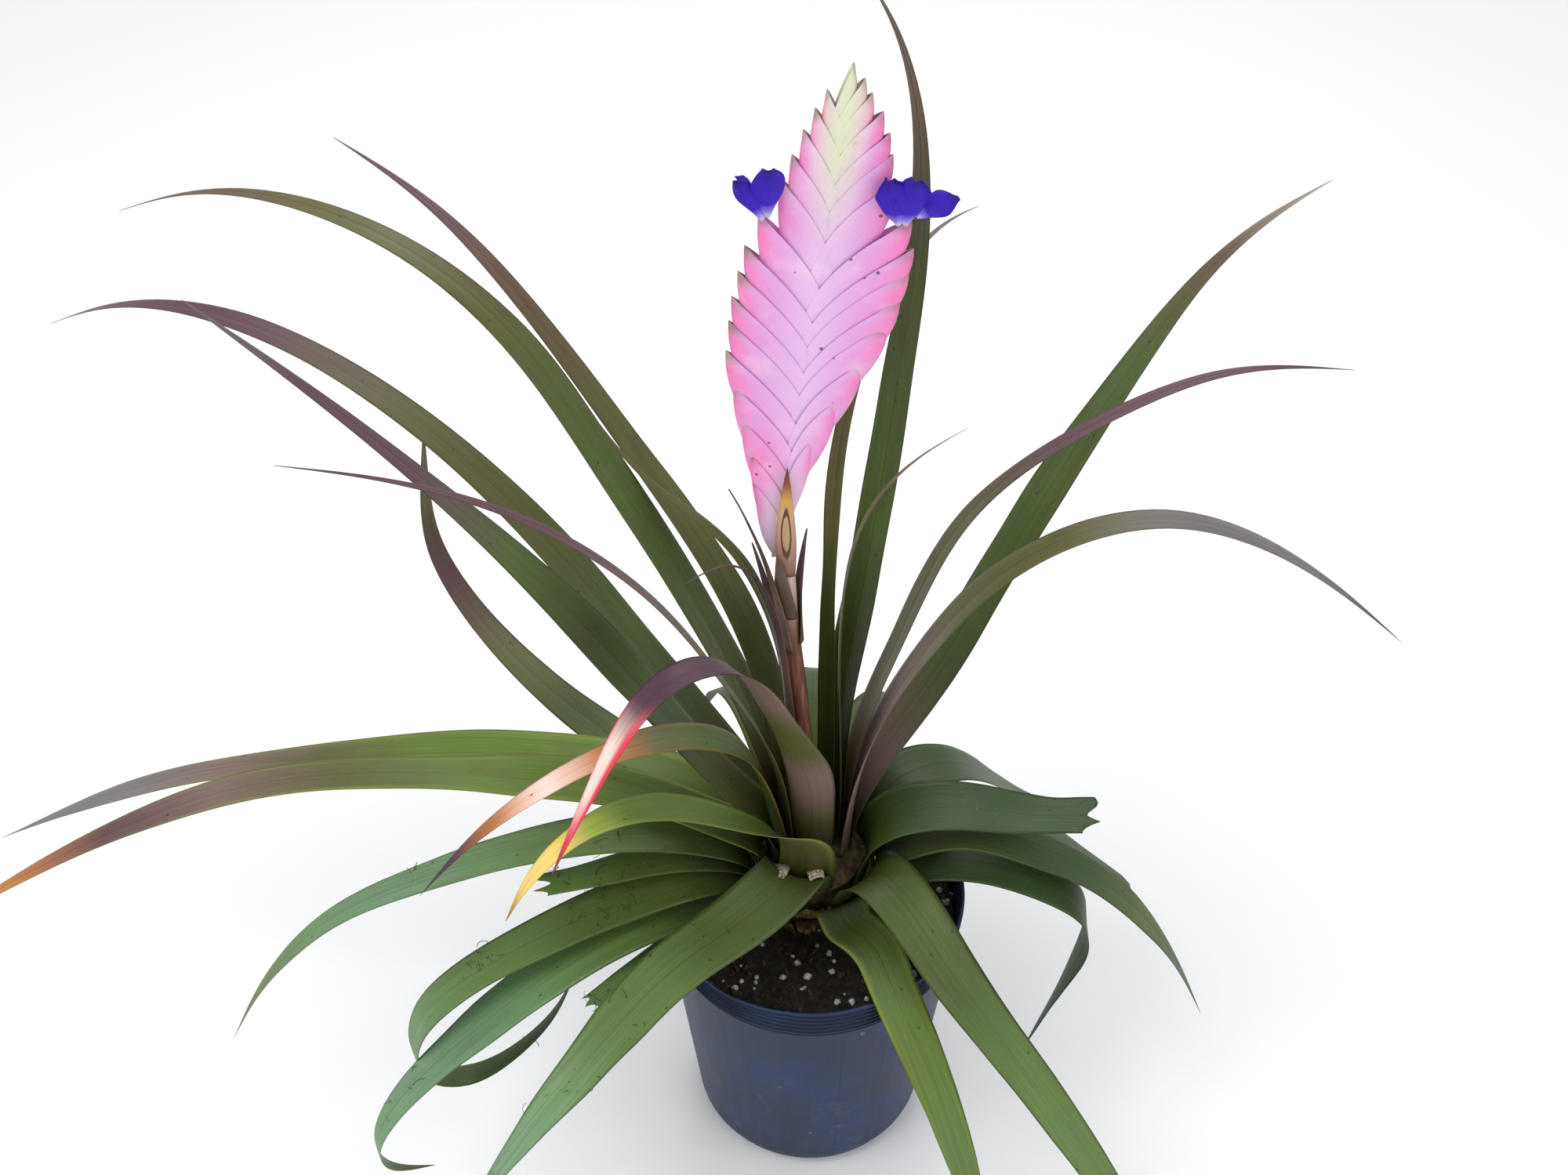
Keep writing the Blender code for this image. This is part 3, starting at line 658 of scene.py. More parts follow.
def build_leaf(name, finish):
    """A channelled blade with thin margins, fine and smooth, along the CAD leaf's sections."""
    seed = int(name[-2:])
    sections, tip = leaf_sections(NODES[name])
    pointed = tip is not None
    mids, acrosses, depths, thick = leaf_frame(sections)
    along = np.gradient(mids, axis=0)
    if np.sum(np.cross(along, acrosses) * depths) < 0:
        acrosses = -acrosses
    half = np.linalg.norm(acrosses, axis=1) / 2
    depth = np.linalg.norm(depths, axis=1)
    if pointed:
        mids = np.vstack([mids, tip])
        acrosses = np.vstack([acrosses, acrosses[-1]])
        half = np.append(half, TIP_HALF)
        depth = np.append(depth, 0.0)
        thick = np.append(thick, TIP_HALF)
    at = np.concatenate([[0], np.cumsum(np.linalg.norm(np.diff(mids, axis=0), axis=1))])
    length = at[-1]
    runs = np.linspace(0, 1, LEAF_STATIONS)
    runs = 0.55 * runs ** 1.5 + 0.45 * runs
    where = runs * length
    centre = natural_cubic(at, mids, where)
    half = np.interp(where, at, half)
    depth = np.interp(where, at, depth)
    thick = np.interp(where, at, thick)
    cross = along_table(at, unit(acrosses), where)
    along = unit(np.gradient(centre, axis=0))
    cross = unit(cross - along * np.sum(cross * along, axis=1, keepdims=True))
    free = ramp(where, *FREE_FROM)
    turn = wander(LEAF_STATIONS, seed, 7, TWIST) * free
    upper = np.cross(along, cross)
    cross, upper = (cross * np.cos(turn)[:, None] + upper * np.sin(turn)[:, None],
                    upper * np.cos(turn)[:, None] - cross * np.sin(turn)[:, None])
    theta = np.maximum(2 * np.arctan2(depth, np.maximum(half, 1e-6)), 0.05)
    bend = half / np.sin(np.minimum(theta, 1.5))
    side_wave = [1 + wander(LEAF_STATIONS, seed + 50 * k, 16, MARGIN_WAVE) * free for k in (1, 2)]
    columns = np.linspace(-1, 1, LEAF_COLUMNS)
    torn = -np.abs(wander(LEAF_COLUMNS, seed + 7, 5, 0.55)) * TORN_DEPTH
    vertices, across_at, run_at = [], [], []
    order = [(u, 1) for u in columns] + [(u, -1) for u in columns[-2:0:-1]]
    for k in range(LEAF_STATIONS):
        for u, face in order:
            wave = side_wave[0][k] if u < 0 else side_wave[1][k]
            angle = u * theta[k] * wave
            wall = thick[k] / 2 * (1 - 0.8 * u * u) * face
            radial = bend[k] - wall
            ridge = 0.25 * thick[k] * exp(-(u * 6) ** 2) * free[k]
            point = (centre[k] + cross[k] * radial * sin(angle)
                     + upper[k] * (bend[k] - radial * cos(angle) - ridge))
            if not pointed:
                near_end = max(0.0, (runs[k] - 0.93) / 0.07)
                point = point + along[k] * np.interp(u, columns, torn) * near_end
            vertices.append(point)
            across_at.append(u)
            run_at.append(runs[k])
    size = len(order)
    faces = tube_faces(LEAF_STATIONS, size, capped=False)
    last = (LEAF_STATIONS - 1) * size
    for start, flip in ((0, True), (last, False)):
        for k in range(LEAF_COLUMNS - 1):
            ends = (k, k + 1, (size - k - 1) % size, (size - k) % size)
            quad = list(dict.fromkeys(start + end for end in ends))
            faces.append(quad[::-1] if flip else quad)
    across_at, run_at = np.array(across_at), np.array(run_at)
    width = np.repeat(half, size)
    uv = np.c_[across_at * width / (10 * MM), run_at * length / (10 * MM) + seed * 7.3]
    tint = leaf_colours(name, run_at, across_at, length)
    piece(name + "_blade", vertices, faces, finish, [name], uv, tint)


def build_leaves():
    """All the leaves, with the skin that each one's record slot asks for."""
    finishes = {
        "leaf": leaf_finish("leaf_skin", 0.5, 0.45, 0.5),
        "leaf_purple_tinted": leaf_finish("leaf_purple_skin", 0.5, 0.65, 0.48),
        "leaf_sun_bleached": leaf_finish("leaf_bleached_skin", 0.3, 0.3, 0.5),
    }
    tinted = ("01", "04", "05", "08", "09", "10", "11")
    bleached = ("06", "13", "15")
    for name in sorted(LEAF_TINTS):
        number = name[-2:]
        slot = "leaf_purple_tinted" if number in tinted else "leaf"
        slot = "leaf_sun_bleached" if number in bleached else slot
        build_leaf(name, finishes[slot])


def spike_share(height):
    """How far up the spike a height is: 0 at its foot and 1 at its top."""
    return (height - SPIKE_FOOT.z) / (SPIKE_TOP.z - SPIKE_FOOT.z)


def midline(height):
    """The spike's middle, along X, at a height."""
    return SPIKE_FOOT.x + (SPIKE_TOP.x - SPIKE_FOOT.x) * spike_share(height)


def bezier(points, t):
    """A cubic Bezier curve in the spike's plane."""
    p = [np.array(q, float) for q in points]
    t = np.asarray(t, float)[:, None]
    return (1 - t) ** 3 * p[0] + 3 * (1 - t) ** 2 * t * p[1] + 3 * (1 - t) * t * t * p[2] + t ** 3 * p[3]


def bract_tint(run, share, x, z, side, seed):
    """Lilac in the middle, hot pink toward the keel and tip, cream green up the centre, brown edges."""
    noise = np.random.default_rng(seed)
    lilac, pale, hot, cream, brown, green = (np.array(srgb(code)) for code in (
        "e0a9df", "e6bfe6", "f77fbd", "dfe6c2", "6a5636", "8f9a6a"))
    up = spike_share(z)
    off = np.abs(x - midline(z))
    colour = lilac + (pale - lilac) * ramp(off, 12 * MM, 0)[:, None]
    pink = ramp(run, 0.4, 0.8) * np.clip(1.3 - share * 1.2, 0, 1) ** 1.3 * noise.uniform(0.75, 1.0)
    pink = np.maximum(pink, ramp(np.abs(up - 0.15), 0.16, 0) * ramp(off, 0, 9 * MM) * 0.8)
    colour = colour + (hot - colour) * pink[:, None]
    milk = ramp(up, 0.66, 0.86) * ramp(off, 8 * MM, 0) ** 0.7
    milk = np.maximum(milk, ramp(up, 0.9, 1.02) * 0.75)
    milk = np.maximum(milk, ramp(up, 0.16, 0) * 0.6 * ramp(off, 9 * MM, 0))
    colour = colour + (cream - colour) * milk[:, None]
    dry = ramp(run, 0.86, 0.96) * (0.95 if side < 0 else 0.75) * noise.uniform(0.6, 1.0)
    dry = np.maximum(dry, ramp(run, 0.72, 0.92) * ramp(share, 0.1, 0.03) * 0.7)
    dead = brown + (green - brown) * noise.uniform(0, 0.7)
    return colour + (dead - colour) * dry[:, None]


def spike_bract(side, tip, order):
    """One folded, keeled bract: front and back cheeks that meet on the outer keel."""
    runs = np.linspace(0, 1, 17)
    shares = np.linspace(0, 1, 9)
    x, z = tip[0] * MM, tip[1] * MM
    foot_z = max(z - BRACT_LENGTH, SPIKE_FOOT.z - 16 * MM)
    rise = z - foot_z
    reach = abs(x - midline(z))
    up = spike_share(z)
    base_x = midline(foot_z)
    drop = (0.78 if side < 0 else 0.56) * reach + 7 * MM
    past = -side * (2.2 + 2.6 * max(up, 0) ** 2) * MM
    bulge = max((0.4 + 0.22 * min(1.0, up * 3)) * reach + 2 * MM, 5.5 * MM * up ** 3)
    tuck = (0.35 if side < 0 else 0.2) * reach * max(0.0, 1 - up * 3.2)
    swell = (0.8 + 3.4 * max(up - 0.55, 0)) * MM
    keel = bezier([(base_x + side * 1.5 * MM, foot_z), (base_x + side * bulge, foot_z + rise * 0.3),
                   (x + side * (swell - tuck), z - rise * 0.36), (x, z)], runs)
    seam = z - drop
    margin = bezier([(base_x + past, foot_z), (midline(seam) + past, foot_z + (seam - foot_z) * 0.9),
                     (midline(seam) + side * reach * 0.3, seam + drop * 0.52),
                     (x - side * 0.2 * MM, z)], runs)
    grid = keel[:, None] + (margin - keel)[:, None] * shares[None, :, None]
    lean = 0.9 * MM + (grid[..., 1] - foot_z) * BRACT_LEAN
    arch = np.sqrt(1 - (1 - shares) ** 2)[None, :] * (1 - 0.35 * runs[:, None] ** 6)
    arch = arch * np.sqrt(np.clip((1 - runs) / 0.12, 0.02, 1))[:, None]
    out = lean * arch
    vertices, share_at, run_at = [], [], []
    columns = [(1, k) for k in range(len(shares) - 1, 0, -1)] + [(-1, k) for k in range(len(shares))]
    for shell in (1, 0):
        for i in range(len(runs)):
            for face, k in columns:
                inset = 0 if shell else BRACT_WALL
                px, pz = grid[i, k]
                if not shell:
                    px = px - side * BRACT_WALL * (1 - shares[k]) * 1.2
                y = -face * max(out[i, k] - inset * min(1.0, shares[k] * 3), 0.0 if k == 0 else 0.02 * MM)
                vertices.append((px, y, pz))
                share_at.append(shares[k])
                run_at.append(runs[i])
    faces = shell_faces(len(runs), len(columns))
    vertices = np.array(vertices)
    tint = bract_tint(np.array(run_at), np.array(share_at), vertices[:, 0], vertices[:, 2], side, order)
    uv = np.c_[np.array(share_at) + order, np.array(run_at)]
    return vertices, faces, uv, tint


def rachis_rings():
    """The spike's own axis, hidden among its bracts."""
    vertices = []
    steps, sides = 12, 12
    for i in range(steps + 1):
        share = i / steps
        centre = SPIKE_FOOT.lerp(SPIKE_TOP, share * 0.96)
        radius = (2.2 - 1.5 * share) * MM
        for a in turns(sides):
            vertices.append((centre.x + radius * cos(a), radius * 0.5 * sin(a), centre.z))
    return np.array(vertices), tube_faces(steps + 1, sides)


def build_spike():
    """The spike: its axis and every bract, in one piece."""
    vertices, faces, uvs, tints = [], [], [], []
    core, core_faces = rachis_rings()
    parts = [(core, core_faces, np.zeros((len(core), 2)), np.tile(srgb("d9b6cf"), (len(core), 1)))]
    tips = [(-1, tip) for tip in LEFT_TIPS] + [(1, tip) for tip in RIGHT_TIPS]
    for order, (side, tip) in enumerate(tips):
        parts.append(spike_bract(side, tip, order))
    count = 0
    for part, part_faces, uv, tint in parts:
        vertices.append(part)
        faces += [tuple(count + i for i in face) for face in part_faces]
        uvs.append(uv)
        tints.append(tint)
        count += len(part)
    made = piece("spike_bracts", np.vstack(vertices), faces, bract_finish(), ["flower_spike"],
                 np.vstack(uvs), np.vstack(tints))
    made.data.set_sharp_from_angle(angle=radians(60))


def sheet_piece(name, grid, wall, finish, replaced, tint=None, uv_scale=(1.0, 1.0)):
    """A closed thin sheet from a grid of points: [along][across]."""
    grid = np.asarray(grid)
    rows, width = grid.shape[:2]
    du, dv = np.gradient(grid, axis=0), np.gradient(grid, axis=1)
    normal = unit(np.cross(du, dv))
    vertices = np.vstack([(grid + normal * wall * face / 2).reshape(-1, 3) for face in (1, -1)])
    across, along = np.meshgrid(np.linspace(-1, 1, width), np.linspace(0, 1, rows))
    uv = np.c_[across.ravel() * uv_scale[0], along.ravel() * uv_scale[1]]
    colours = None if tint is None else np.vstack([tint.reshape(-1, 3)] * 2)
    piece(name, vertices, shell_faces(rows, width), finish, replaced, np.vstack([uv, uv]), colours)


def build_petals():
    """Cupped petals, ruffled toward their edges."""
    finish = petal_finish()
    for number, (name, (base, tip, facing, width, cup, ruffle)) in enumerate(PETALS.items()):
        base, tip = np.array(base) * MM, np.array(tip) * MM
        angle = radians(facing)
        face = np.array((cos(angle), sin(angle), 0.25))
        axis = unit(tip - base)
        face = unit(face - axis * (face @ axis))
        side = np.cross(axis, face)
        length = np.linalg.norm(tip - base)
        grid = []
        for t in np.linspace(0, 1, 22):
            broad = 0.22 + 0.78 * sin(pi * min(1.0, t * 1.02) ** 1.35) ** 0.7 if t < 0.985 else 0.3
            row = []
            for u in np.linspace(-1, 1, 15):
                ripple = ruffle * MM * sin(t * 9 + u * 5 + number * 2) * abs(u) ** 1.5 * t
                back = -cup * MM * (u * u) + 1.6 * MM * t * t * (1 if ruffle < 1 else -0.4)
                reach = length * t * (1 - 0.06 * u * u * t)
                row.append(base + axis * reach + side * u * width * MM / 2 * broad + face * (back + ripple))
            grid.append(row)
        sheet_piece(name + "_blade", grid, PETAL_WALL, finish, [name])


def build_stalk():
    """A stalk that swells a little and carries lengthwise ribs."""
    at = np.linspace(0, 1, len(STALK_PATH))
    centre = natural_cubic(at, np.array(STALK_PATH) * MM, np.linspace(0, 1, 40))
    vertices, sides = [], 24
    for i, (x, y, z) in enumerate(centre):
        for a in turns(sides):
            radius = STALK_RADIUS + (0.12 * cos(6 * a) + 0.15 * sin(i * 0.5)) * MM
            vertices.append((x + radius * cos(a), y + radius * sin(a), z))
    piece("stalk_core", vertices, tube_faces(len(centre), sides), stalk_finish(), ["flower_stalk"])


def stalk_x(height):
    """The stalk's middle, along X, at a height, both in mm."""
    return float(np.interp(height, *STALK_MIDDLE))


def build_stalk_bracts():
    """Slender bracts whose bases wrap the stalk, and whose points stand off it."""
    finish = stalk_bract_finish()
    for name, (height, azimuth, reach, rise, width, words) in STALK_BRACTS.items():
        out = np.array((cos(radians(azimuth)), sin(radians(azimuth)), 0.0))
        side = np.array((-out[1], out[0], 0.0))
        stops = np.array([TINTS[word] for word in words.split()])
        grid, colours = [], []
        for t in np.linspace(0, 1, 30):
            z = height + rise * t
            stand = 3.6 + reach * t ** 2.2
            middle = np.array((stalk_x(z), 0.0, z)) * MM
            half = width / 2 * (1 - t ** 1.6) + 0.15
            bend = 3.6 + 12 * t
            row = []
            for u in np.linspace(-1, 1, 9):
                angle = u * half / bend
                away = stand - bend * (1 - cos(angle))
                row.append(middle + (out * away + side * bend * sin(angle)) * MM)
            grid.append(row)
            colours.append([along_table(np.linspace(0, 1, len(stops)), stops, t)] * len(row))
        sheet_piece(name + "_blade", grid, STALK_BRACT_WALL, finish, [name],
                    np.array(colours), (0.5, 4.0))
    grid = []
    for t in np.linspace(0, 1, 24):
        z = 293 + 44 * t
        half = 3.4 * (0.78 + 0.22 * sin(pi * min(t / 0.7, 1))) * (1 - t ** 3.2) + 0.12
        row = []
        for u in np.linspace(-1, 1, 11):
            angle = u * half / 5.0
            row.append(np.array((stalk_x(z) + 0.2 + 5.0 * sin(angle) + 0.8 * t,
                                 -3.9 + 5.0 * (1 - cos(angle)) - 0.5 * sin(pi * t), z)) * MM)
        grid.append(row)
    sheet_piece("scarred_foot_bract", grid, STALK_BRACT_WALL, scar_bract_finish(), [])


def outside(height):
    """The pot's outer radius at a height."""
    return BASE_RADIUS + (RIM_RADIUS - BASE_RADIUS) * height / POT_HEIGHT


def pot_profile():
    """(radius, height) from the middle of the floor inside, over the rim and down to the base."""
    floor = POT_WALL * 1.3
    profile = [(r, floor) for r in np.linspace(0.5 * MM, BASE_RADIUS - BASE_ROUNDING, 8)]
    profile += [(outside(z) - POT_WALL, z) for z in np.linspace(BASE_ROUNDING, POT_HEIGHT - RIM_LIP, 20)]
    profile += [(RIM_RADIUS - POT_WALL * 0.5, POT_HEIGHT), (RIM_RADIUS, POT_HEIGHT - RIM_LIP)]
    ribs_end = POT_HEIGHT - (RIB_COUNT + 0.9) * RIB_PITCH
    for z in np.arange(POT_HEIGHT - 1.2 * MM, ribs_end, -0.3 * MM):
        phase = (POT_HEIGHT - z) / RIB_PITCH
        profile.append((outside(z) + RIB_HEIGHT * max(0.0, cos(2 * pi * phase)) ** 3, z))
    profile += [(outside(z), z) for z in np.linspace(ribs_end, BASE_ROUNDING, 34)]
    for step in range(1, 8):
        angle = radians(90 / 7 * step)
        profile.append((BASE_RADIUS - BASE_ROUNDING + BASE_ROUNDING * cos(angle),
                        BASE_ROUNDING * (1 - sin(angle))))
    profile += [(r, 0.0) for r in np.linspace(BASE_RADIUS - BASE_ROUNDING - 3 * MM, 0.5 * MM, 7)]
    return profile


def build_pot():
    """A thin film pot: fine ribs under a slightly wavy rim, faint dents and folds in its wall."""
    profile = pot_profile()
    vertices = []
    for radius, height in profile:
        share = height / POT_HEIGHT
        for a in turns(POT_SIDES):
            slack = sin(pi * min(1.0, share)) * 0.35 + 0.35 * share ** 6
            wave = sin(3 * a + 0.7) + 0.7 * sin(5 * a + 2 + 3 * share) + 0.5 * sin(8 * a + 1)
            fold = -0.5 * exp(-((sin((a - 4.55) / 2) * 2) / 0.02) ** 2) * min(1.0, share * 4)
            loose = radius > 0.6 * BASE_RADIUS and share > 0.03
            local = radius + (wave * slack + fold) * 0.55 * MM * loose
            dip = 0.5 * MM * (sin(4 * a + 1) - 1) * share ** 12
            vertices.append((local * cos(a), local * sin(a), max(0.0, height + dip)))
    mesh = bpy.data.meshes.new("pot_shell")
    mesh.from_pydata(vertices, [], tube_faces(len(profile), POT_SIDES))
    recalculated(mesh)
    shell = linked("pot_shell_work", mesh)
    drills = []
    for hole in range(DRAIN_COUNT):
        drill = bmesh.new()
        bmesh.ops.create_cone(drill, cap_ends=True, segments=24, radius1=DRAIN_RADIUS, radius2=DRAIN_RADIUS,
                              depth=6 * MM)
        angle = radians(360 / DRAIN_COUNT * (hole + 0.5))
        for vertex in drill.verts:
            vertex.co += Vector((DRAIN_CIRCLE * cos(angle), DRAIN_CIRCLE * sin(angle), 0))
        drill_mesh = bpy.data.meshes.new("drill")
        drill.to_mesh(drill_mesh)
        drill.free()
        drills.append(linked("drill", drill_mesh))
        shell.modifiers.new("drain", "BOOLEAN").object = drills[-1]
    made_mesh = bpy.data.meshes.new_from_object(shell.evaluated_get(bpy.context.evaluated_depsgraph_get()))
    for old in (*drills, shell):
        bpy.data.objects.remove(old)
    made_mesh.shade_smooth()
    made_mesh.set_sharp_from_angle(angle=radians(50))
    settle(bpy.data.objects.new("pot_shell", made_mesh), film_finish(), ["pot"])


def build_soil():
    """Crumbly soil with a lumpy top, a little low at the wall."""
    noise = np.random.default_rng(4)
    sides, rows = 96, 26
    waves = [(noise.uniform(60, 420), noise.uniform(0, 6.3), noise.uniform(0, 6.3)) for _ in range(22)]
    vertices = []
    wall = outside(SOIL_TOP) - POT_WALL - 0.9 * MM
    for i in range(rows):
        radius = 12 * MM + (wall - 12 * MM) * i / (rows - 1)
        for a in turns(sides):
            x, y = radius * cos(a), radius * sin(a)
            bump = sum(sin((x * cos(d) + y * sin(d)) * f + p) / (f / 60 + 1)
                       for f, d, p in waves)
            vertices.append((x, y, SOIL_TOP + 1.0 * MM * (1 - i / rows) + bump * 0.55 * MM))
    foot = BASE_RADIUS - 9 * MM
    vertices += [(foot * cos(a), foot * sin(a), 9 * MM) for a in turns(sides)]
    return piece("soil_bed", vertices, tube_faces(rows + 1, sides), soil_finish(), ["soil"])


class Tree:
    """A Geometry Nodes tree, with named inputs for its sizes."""

    def __init__(self, name, inputs):
        self.group = bpy.data.node_groups.new(name, "GeometryNodeTree")
        face = self.group.interface
        face.new_socket("Geometry", in_out="INPUT", socket_type="NodeSocketGeometry")
        self.sockets = {}
        for title, kind, value in inputs:
            made = face.new_socket(title, in_out="INPUT", socket_type=kind)
            made.default_value = value
            self.sockets[title] = made.identifier
        face.new_socket("Geometry", in_out="OUTPUT", socket_type="NodeSocketGeometry")
        self.source = self.group.nodes.new("NodeGroupInput")
        self.end = self.group.nodes.new("NodeGroupOutput")

    def given(self, title):
        return self.source.outputs[title]

    def node(self, kind, inputs=None, **settings):
        made = self.group.nodes.new(kind)
        for name, value in settings.items():
            setattr(made, name, value)
        for name, value in (inputs or {}).items():
            socket = made.inputs[name]
            if isinstance(value, bpy.types.NodeSocket):
                self.group.links.new(value, socket)
            else:
                socket.default_value = value
        return made

    def finish(self, geometry, material):
        real = self.node("GeometryNodeRealizeInstances", {0: geometry})
        painted = self.node("GeometryNodeSetMaterial", {"Geometry": real.outputs[0], "Material": material})
        self.group.links.new(painted.outputs[0], self.end.inputs[0])

    def run(self, base, name, values, slot):
        """The tree's result over the mesh of `base`, as a plain piece of its own."""
        work = linked(name + "_work", base.data)
        modifier = work.modifiers.new("tree", "NODES")
        modifier.node_group = self.group
        for title, value in values.items():
            modifier[self.sockets[title]] = value
        result = bpy.data.meshes.new_from_object(work.evaluated_get(bpy.context.evaluated_depsgraph_get()))
        bpy.data.objects.remove(work)
        result.shade_smooth()
        made = linked(name, result)
        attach(made, "root")


def scatter_tree(name, shape, material, up_only):
    """Shapes scattered over the faces of a mesh, each turned and sized at random."""
    tree = Tree(name, [("Density", "NodeSocketFloat", 1000.0), ("Smallest", "NodeSocketFloat", 0.5),
                       ("Largest", "NodeSocketFloat", 1.5), ("Seed", "NodeSocketInt", 1)])
    source, seed = tree.given("Geometry"), tree.given("Seed")
    if up_only:
        normal = tree.node("GeometryNodeInputNormal")
        split = tree.node("ShaderNodeSeparateXYZ", {0: normal.outputs[0]})
        chosen = tree.node("FunctionNodeCompare", {0: split.outputs[2], 1: 0.3}, data_type="FLOAT",
                           operation="GREATER_THAN")
    else:
        chosen = tree.node("GeometryNodeInputNamedAttribute", {"Name": "litter"}, data_type="BOOLEAN")
    points = tree.node("GeometryNodeDistributePointsOnFaces", {
        "Mesh": source, "Selection": chosen.outputs[0], "Density": tree.given("Density"), "Seed": seed})
    size = tree.node("FunctionNodeRandomValue", {
        2: tree.given("Smallest"), 3: tree.given("Largest"), "Seed": seed}, data_type="FLOAT")
    turn = tree.node("FunctionNodeRandomValue", {
        0: (-3.1, -3.1, -3.1), 1: (3.1, 3.1, 3.1), "Seed": seed}, data_type="FLOAT_VECTOR")
    placed = tree.node("GeometryNodeInstanceOnPoints", {
        "Points": points.outputs[0], "Instance": shape(tree), "Rotation": turn.outputs[0],
        "Scale": size.outputs[1]})
    tree.finish(placed.outputs[0], material)
    return tree


def jittered(tree, shape, scale, reach):
    """`shape` with its points moved about by a noise."""
    noise = tree.node("ShaderNodeTexNoise", {"Scale": scale}).outputs[1]
    centred = tree.node("ShaderNodeVectorMath", {0: noise, 1: (0.5, 0.5, 0.5)}, operation="SUBTRACT")
    offset = tree.node("ShaderNodeVectorMath", {0: centred.outputs[0], "Scale": reach}, operation="SCALE")
    moved = tree.node("GeometryNodeSetPosition", {"Geometry": shape, "Offset": offset.outputs[0]})
    return moved.outputs[0]


def grain_shape(tree):
    """A pitted, uneven grain about 1 mm across."""
    ball = tree.node("GeometryNodeMeshIcoSphere", {"Radius": 1.0 * MM, "Subdivisions": 2})
    return jittered(tree, ball.outputs[0], 900.0, 1.3 * MM)


def chip_shape(tree):
    """A flat chip of bark."""
    box = tree.node("GeometryNodeMeshCube", {"Size": (3.4 * MM, 1.8 * MM, 0.7 * MM), "Vertices X": 3})
    return jittered(tree, box.outputs[0], 500.0, 2.2 * MM)


def hair_shape(tree):
    """A short bent root hair."""
    arc = tree.node("GeometryNodeCurveArc", {"Resolution": 6, "Radius": 3.2 * MM, "Sweep Angle": 2.0})
    round_edge = tree.node("GeometryNodeCurvePrimitiveCircle", {"Resolution": 3, "Radius": 0.13 * MM})
    return tree.node("GeometryNodeCurveToMesh", {
        "Curve": arc.outputs[0], "Profile Curve": round_edge.outputs[0], "Fill Caps": True}).outputs[0]


SHAPES = {"grain": grain_shape, "chip": chip_shape, "hair": hair_shape}


def build_litter(soil):
    """Perlite, bark and moss on the soil; root hairs caught on the lower leaves."""
    for name, shape, dark, pale, grain, values in SOIL_LITTER:
        finish = grain_finish(name, dark, pale, grain)
        values = dict(zip(("Density", "Smallest", "Largest", "Seed"), values))
        scatter_tree(name + "_scatter", SHAPES[shape], finish, True).run(
            soil, "soil_" + name.split("_")[0], values, "potting_soil")
    hairs = scatter_tree("root_hair_scatter", hair_shape, grain_finish(
        "root_hairs", "14100b", "3c2f20", 500.0), False)
    for name, share in LITTERED.items():
        seed = int(name[-2:])
        blade = bpy.data.objects[name + "_blade"]
        mesh = blade.data
        noise = np.random.default_rng(seed + 90)
        places = np.array([v.co[:] for v in mesh.vertices])
        marks = mesh.attributes.new("litter", "BOOLEAN", "POINT")
        picked = np.zeros(len(places), bool)
        for share_along in (0.22, 0.3, *noise.uniform(0.2, 1, 5)):
            middle = places[int(share_along * (len(places) - 1))]
            picked |= np.linalg.norm(places - middle, axis=1) < noise.uniform(4, 9) * MM
        marks.data.foreach_set("value", picked)
        values = {"Density": 60000.0 * share, "Smallest": 0.4, "Largest": 1.4, "Seed": seed}
        hairs.run(blade, name + "_root_hairs", values, "old_stem")


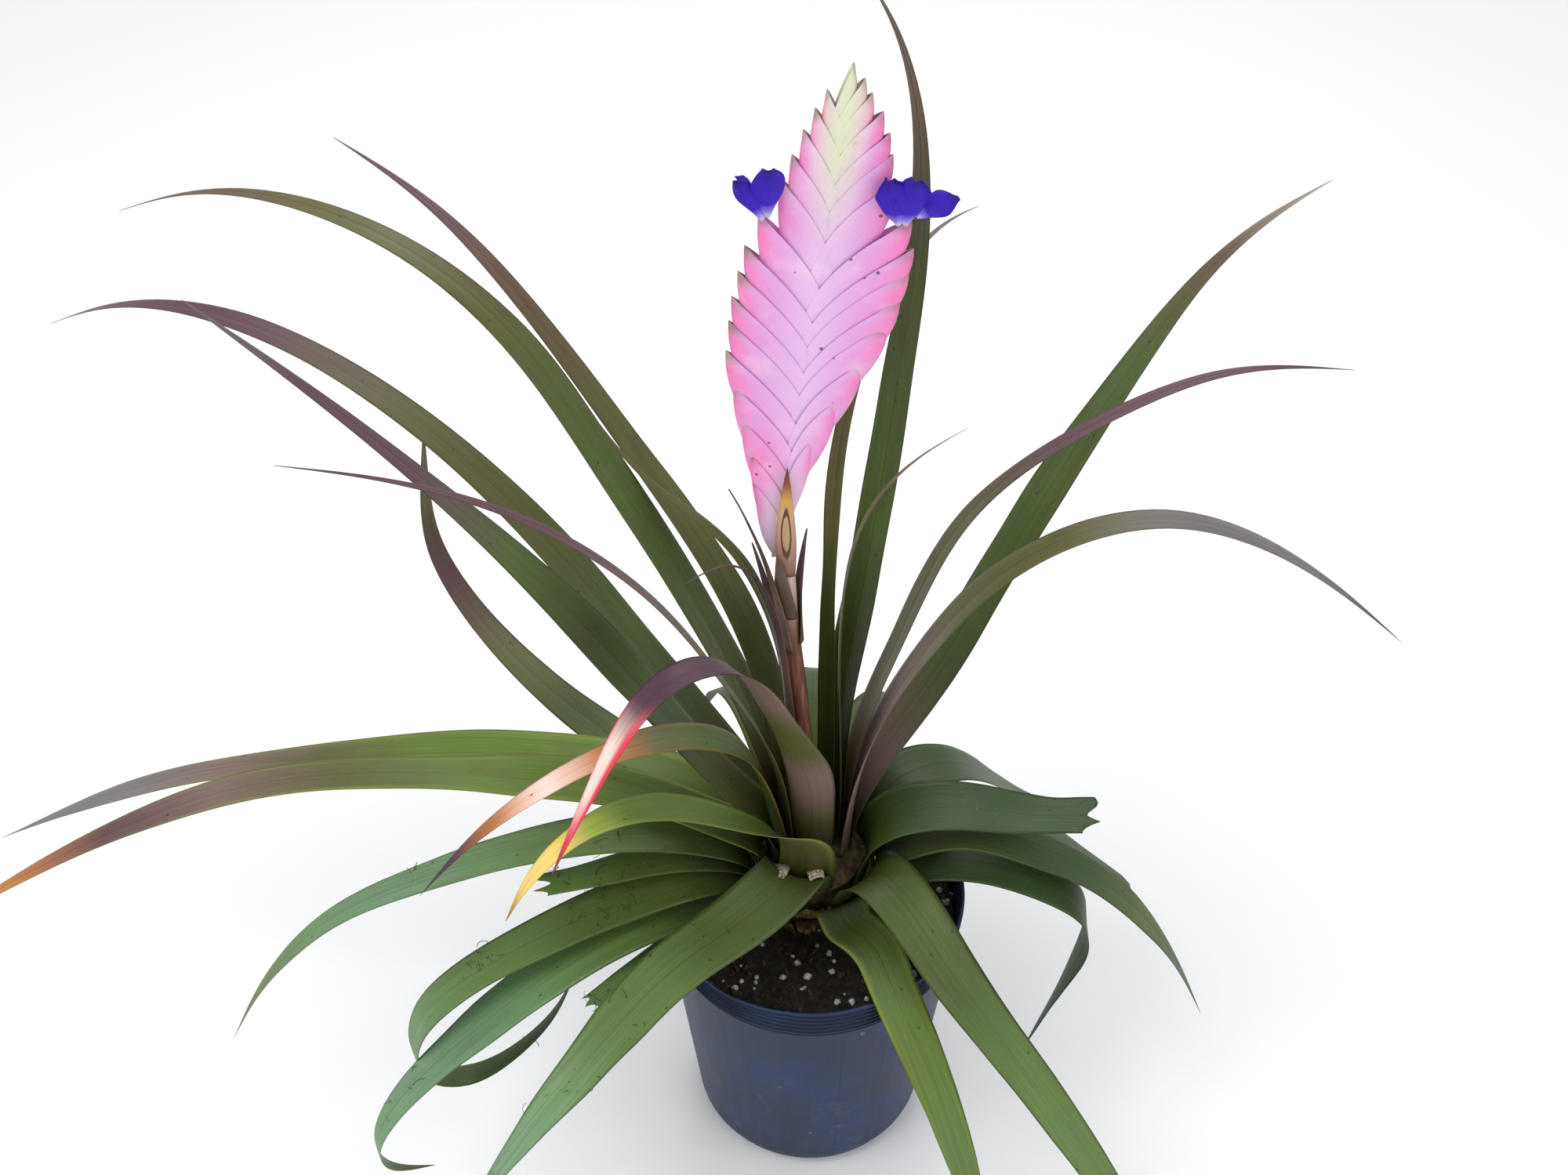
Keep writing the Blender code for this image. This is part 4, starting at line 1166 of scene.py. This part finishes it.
def build_stem():
    """The old stem keeps its CAD shape; dry scales, the remains of shed leaves, stand round it."""
    stem = NODES["stem"]
    stem.data.materials.clear()
    stem.data.materials.append(stem_finish())
    dry = grain_finish("dry_scale", "3b2b19", "8a7446", 420.0)
    noise = np.random.default_rng(12)
    for number in range(22):
        a = 2 * pi * (number * 0.381966) + noise.uniform(-0.1, 0.1)
        low = noise.uniform(116, 134)
        radius = 15.5 + (low - 116) * 0.22
        length, half = noise.uniform(7, 15), noise.uniform(3, 6)
        flare = noise.uniform(0.15, 0.7)
        out = np.array((cos(a), sin(a), 0))
        side = np.array((-out[1], out[0], 0))
        ragged = noise.uniform(0.5, 1.0, 7)
        grid = []
        for t in np.linspace(0, 1, 7):
            row = []
            for k, u in enumerate(np.linspace(-1, 1, 7)):
                rise = length * t * (1 - (1 - ragged[k]) * t)
                row.append((out * (radius + flare * length * t * t - u * u * half * half / (2 * radius))
                            + side * u * half * (1 - 0.35 * t) + np.array((0, 0, low + rise))) * MM)
            grid.append(row)
        sheet_piece(f"dry_scale_{number + 1:02d}", grid, 0.5 * MM, dry, [])
    pale = grain_finish("cut_stub", "6e5c40", "d6cdb6", 700.0)
    for number, (across, lean) in enumerate(((-11.5, -0.25), (0.5, 0.15)), 1):
        out = unit(np.array((lean, -1.0, 0.35)))
        side = unit(np.cross(out, (0, 0, 1)))
        third = np.cross(side, out)
        start = np.array((across, -15.0, 158.5)) * MM
        vertices = []
        for t, radius in STUB_PROFILE:
            for a in turns(STUB_SIDES):
                local = radius * (1 + 0.12 * sin(3 * a + number))
                spread = side * local * 1.6 * cos(a) + third * local * 0.8 * sin(a)
                vertices.append(start + (out * t + spread) * MM)
        faces = tube_faces(len(STUB_PROFILE), STUB_SIDES)
        piece(f"cut_stub_{number}", vertices, faces, pale, [])


def build_stage():
    """A pale floor, soft light from above and both sides, and the camera."""
    mesh = bpy.data.meshes.new("floor")
    corners = ((-1, -1), (1, -1), (1, 1), (-1, 1))
    mesh.from_pydata([(FLOOR_HALF * x, FLOOR_HALF * y, 0) for x, y in corners], [], [(0, 1, 2, 3)])
    floor = linked("floor", mesh)
    made = Finish("floor_paper")
    grain = made.noise(made.place(), 3.0)
    mesh.materials.append(made.finish(made.mix(grain, (0.86, 0.86, 0.87), (0.88, 0.88, 0.89)), 0.9))
    world = bpy.data.worlds.new("studio")
    world.use_nodes = True
    world.node_tree.nodes["Background"].inputs[0].default_value = (0.97, 0.98, 1.0, 1.0)
    world.node_tree.nodes["Background"].inputs[1].default_value = 0.72
    bpy.context.scene.world = world
    for name, place, size, power in LIGHTS:
        light = bpy.data.lights.new(name, "AREA")
        light.shape = "DISK"
        light.size = size
        light.energy = power
        lamp = linked(name, light)
        lamp.location = place
        lamp.rotation_euler = (LIT_POINT - lamp.location).to_track_quat("-Z", "Y").to_euler()
    camera = bpy.data.cameras.new("camera")
    camera.lens = 36
    camera.sensor_width = 36
    camera.clip_start = 0.01
    view = linked("camera", camera)
    view.location = CAMERA_PLACE
    view.rotation_euler = (radians(90 - CAMERA_PITCH), 0, 0)
    bpy.context.scene.camera = view
    bpy.context.scene.view_settings.view_transform = "Standard"


build_stage()
build_leaves()
build_spike()
build_petals()
build_stalk()
build_stalk_bracts()
build_pot()
build_litter(build_soil())
build_stem()
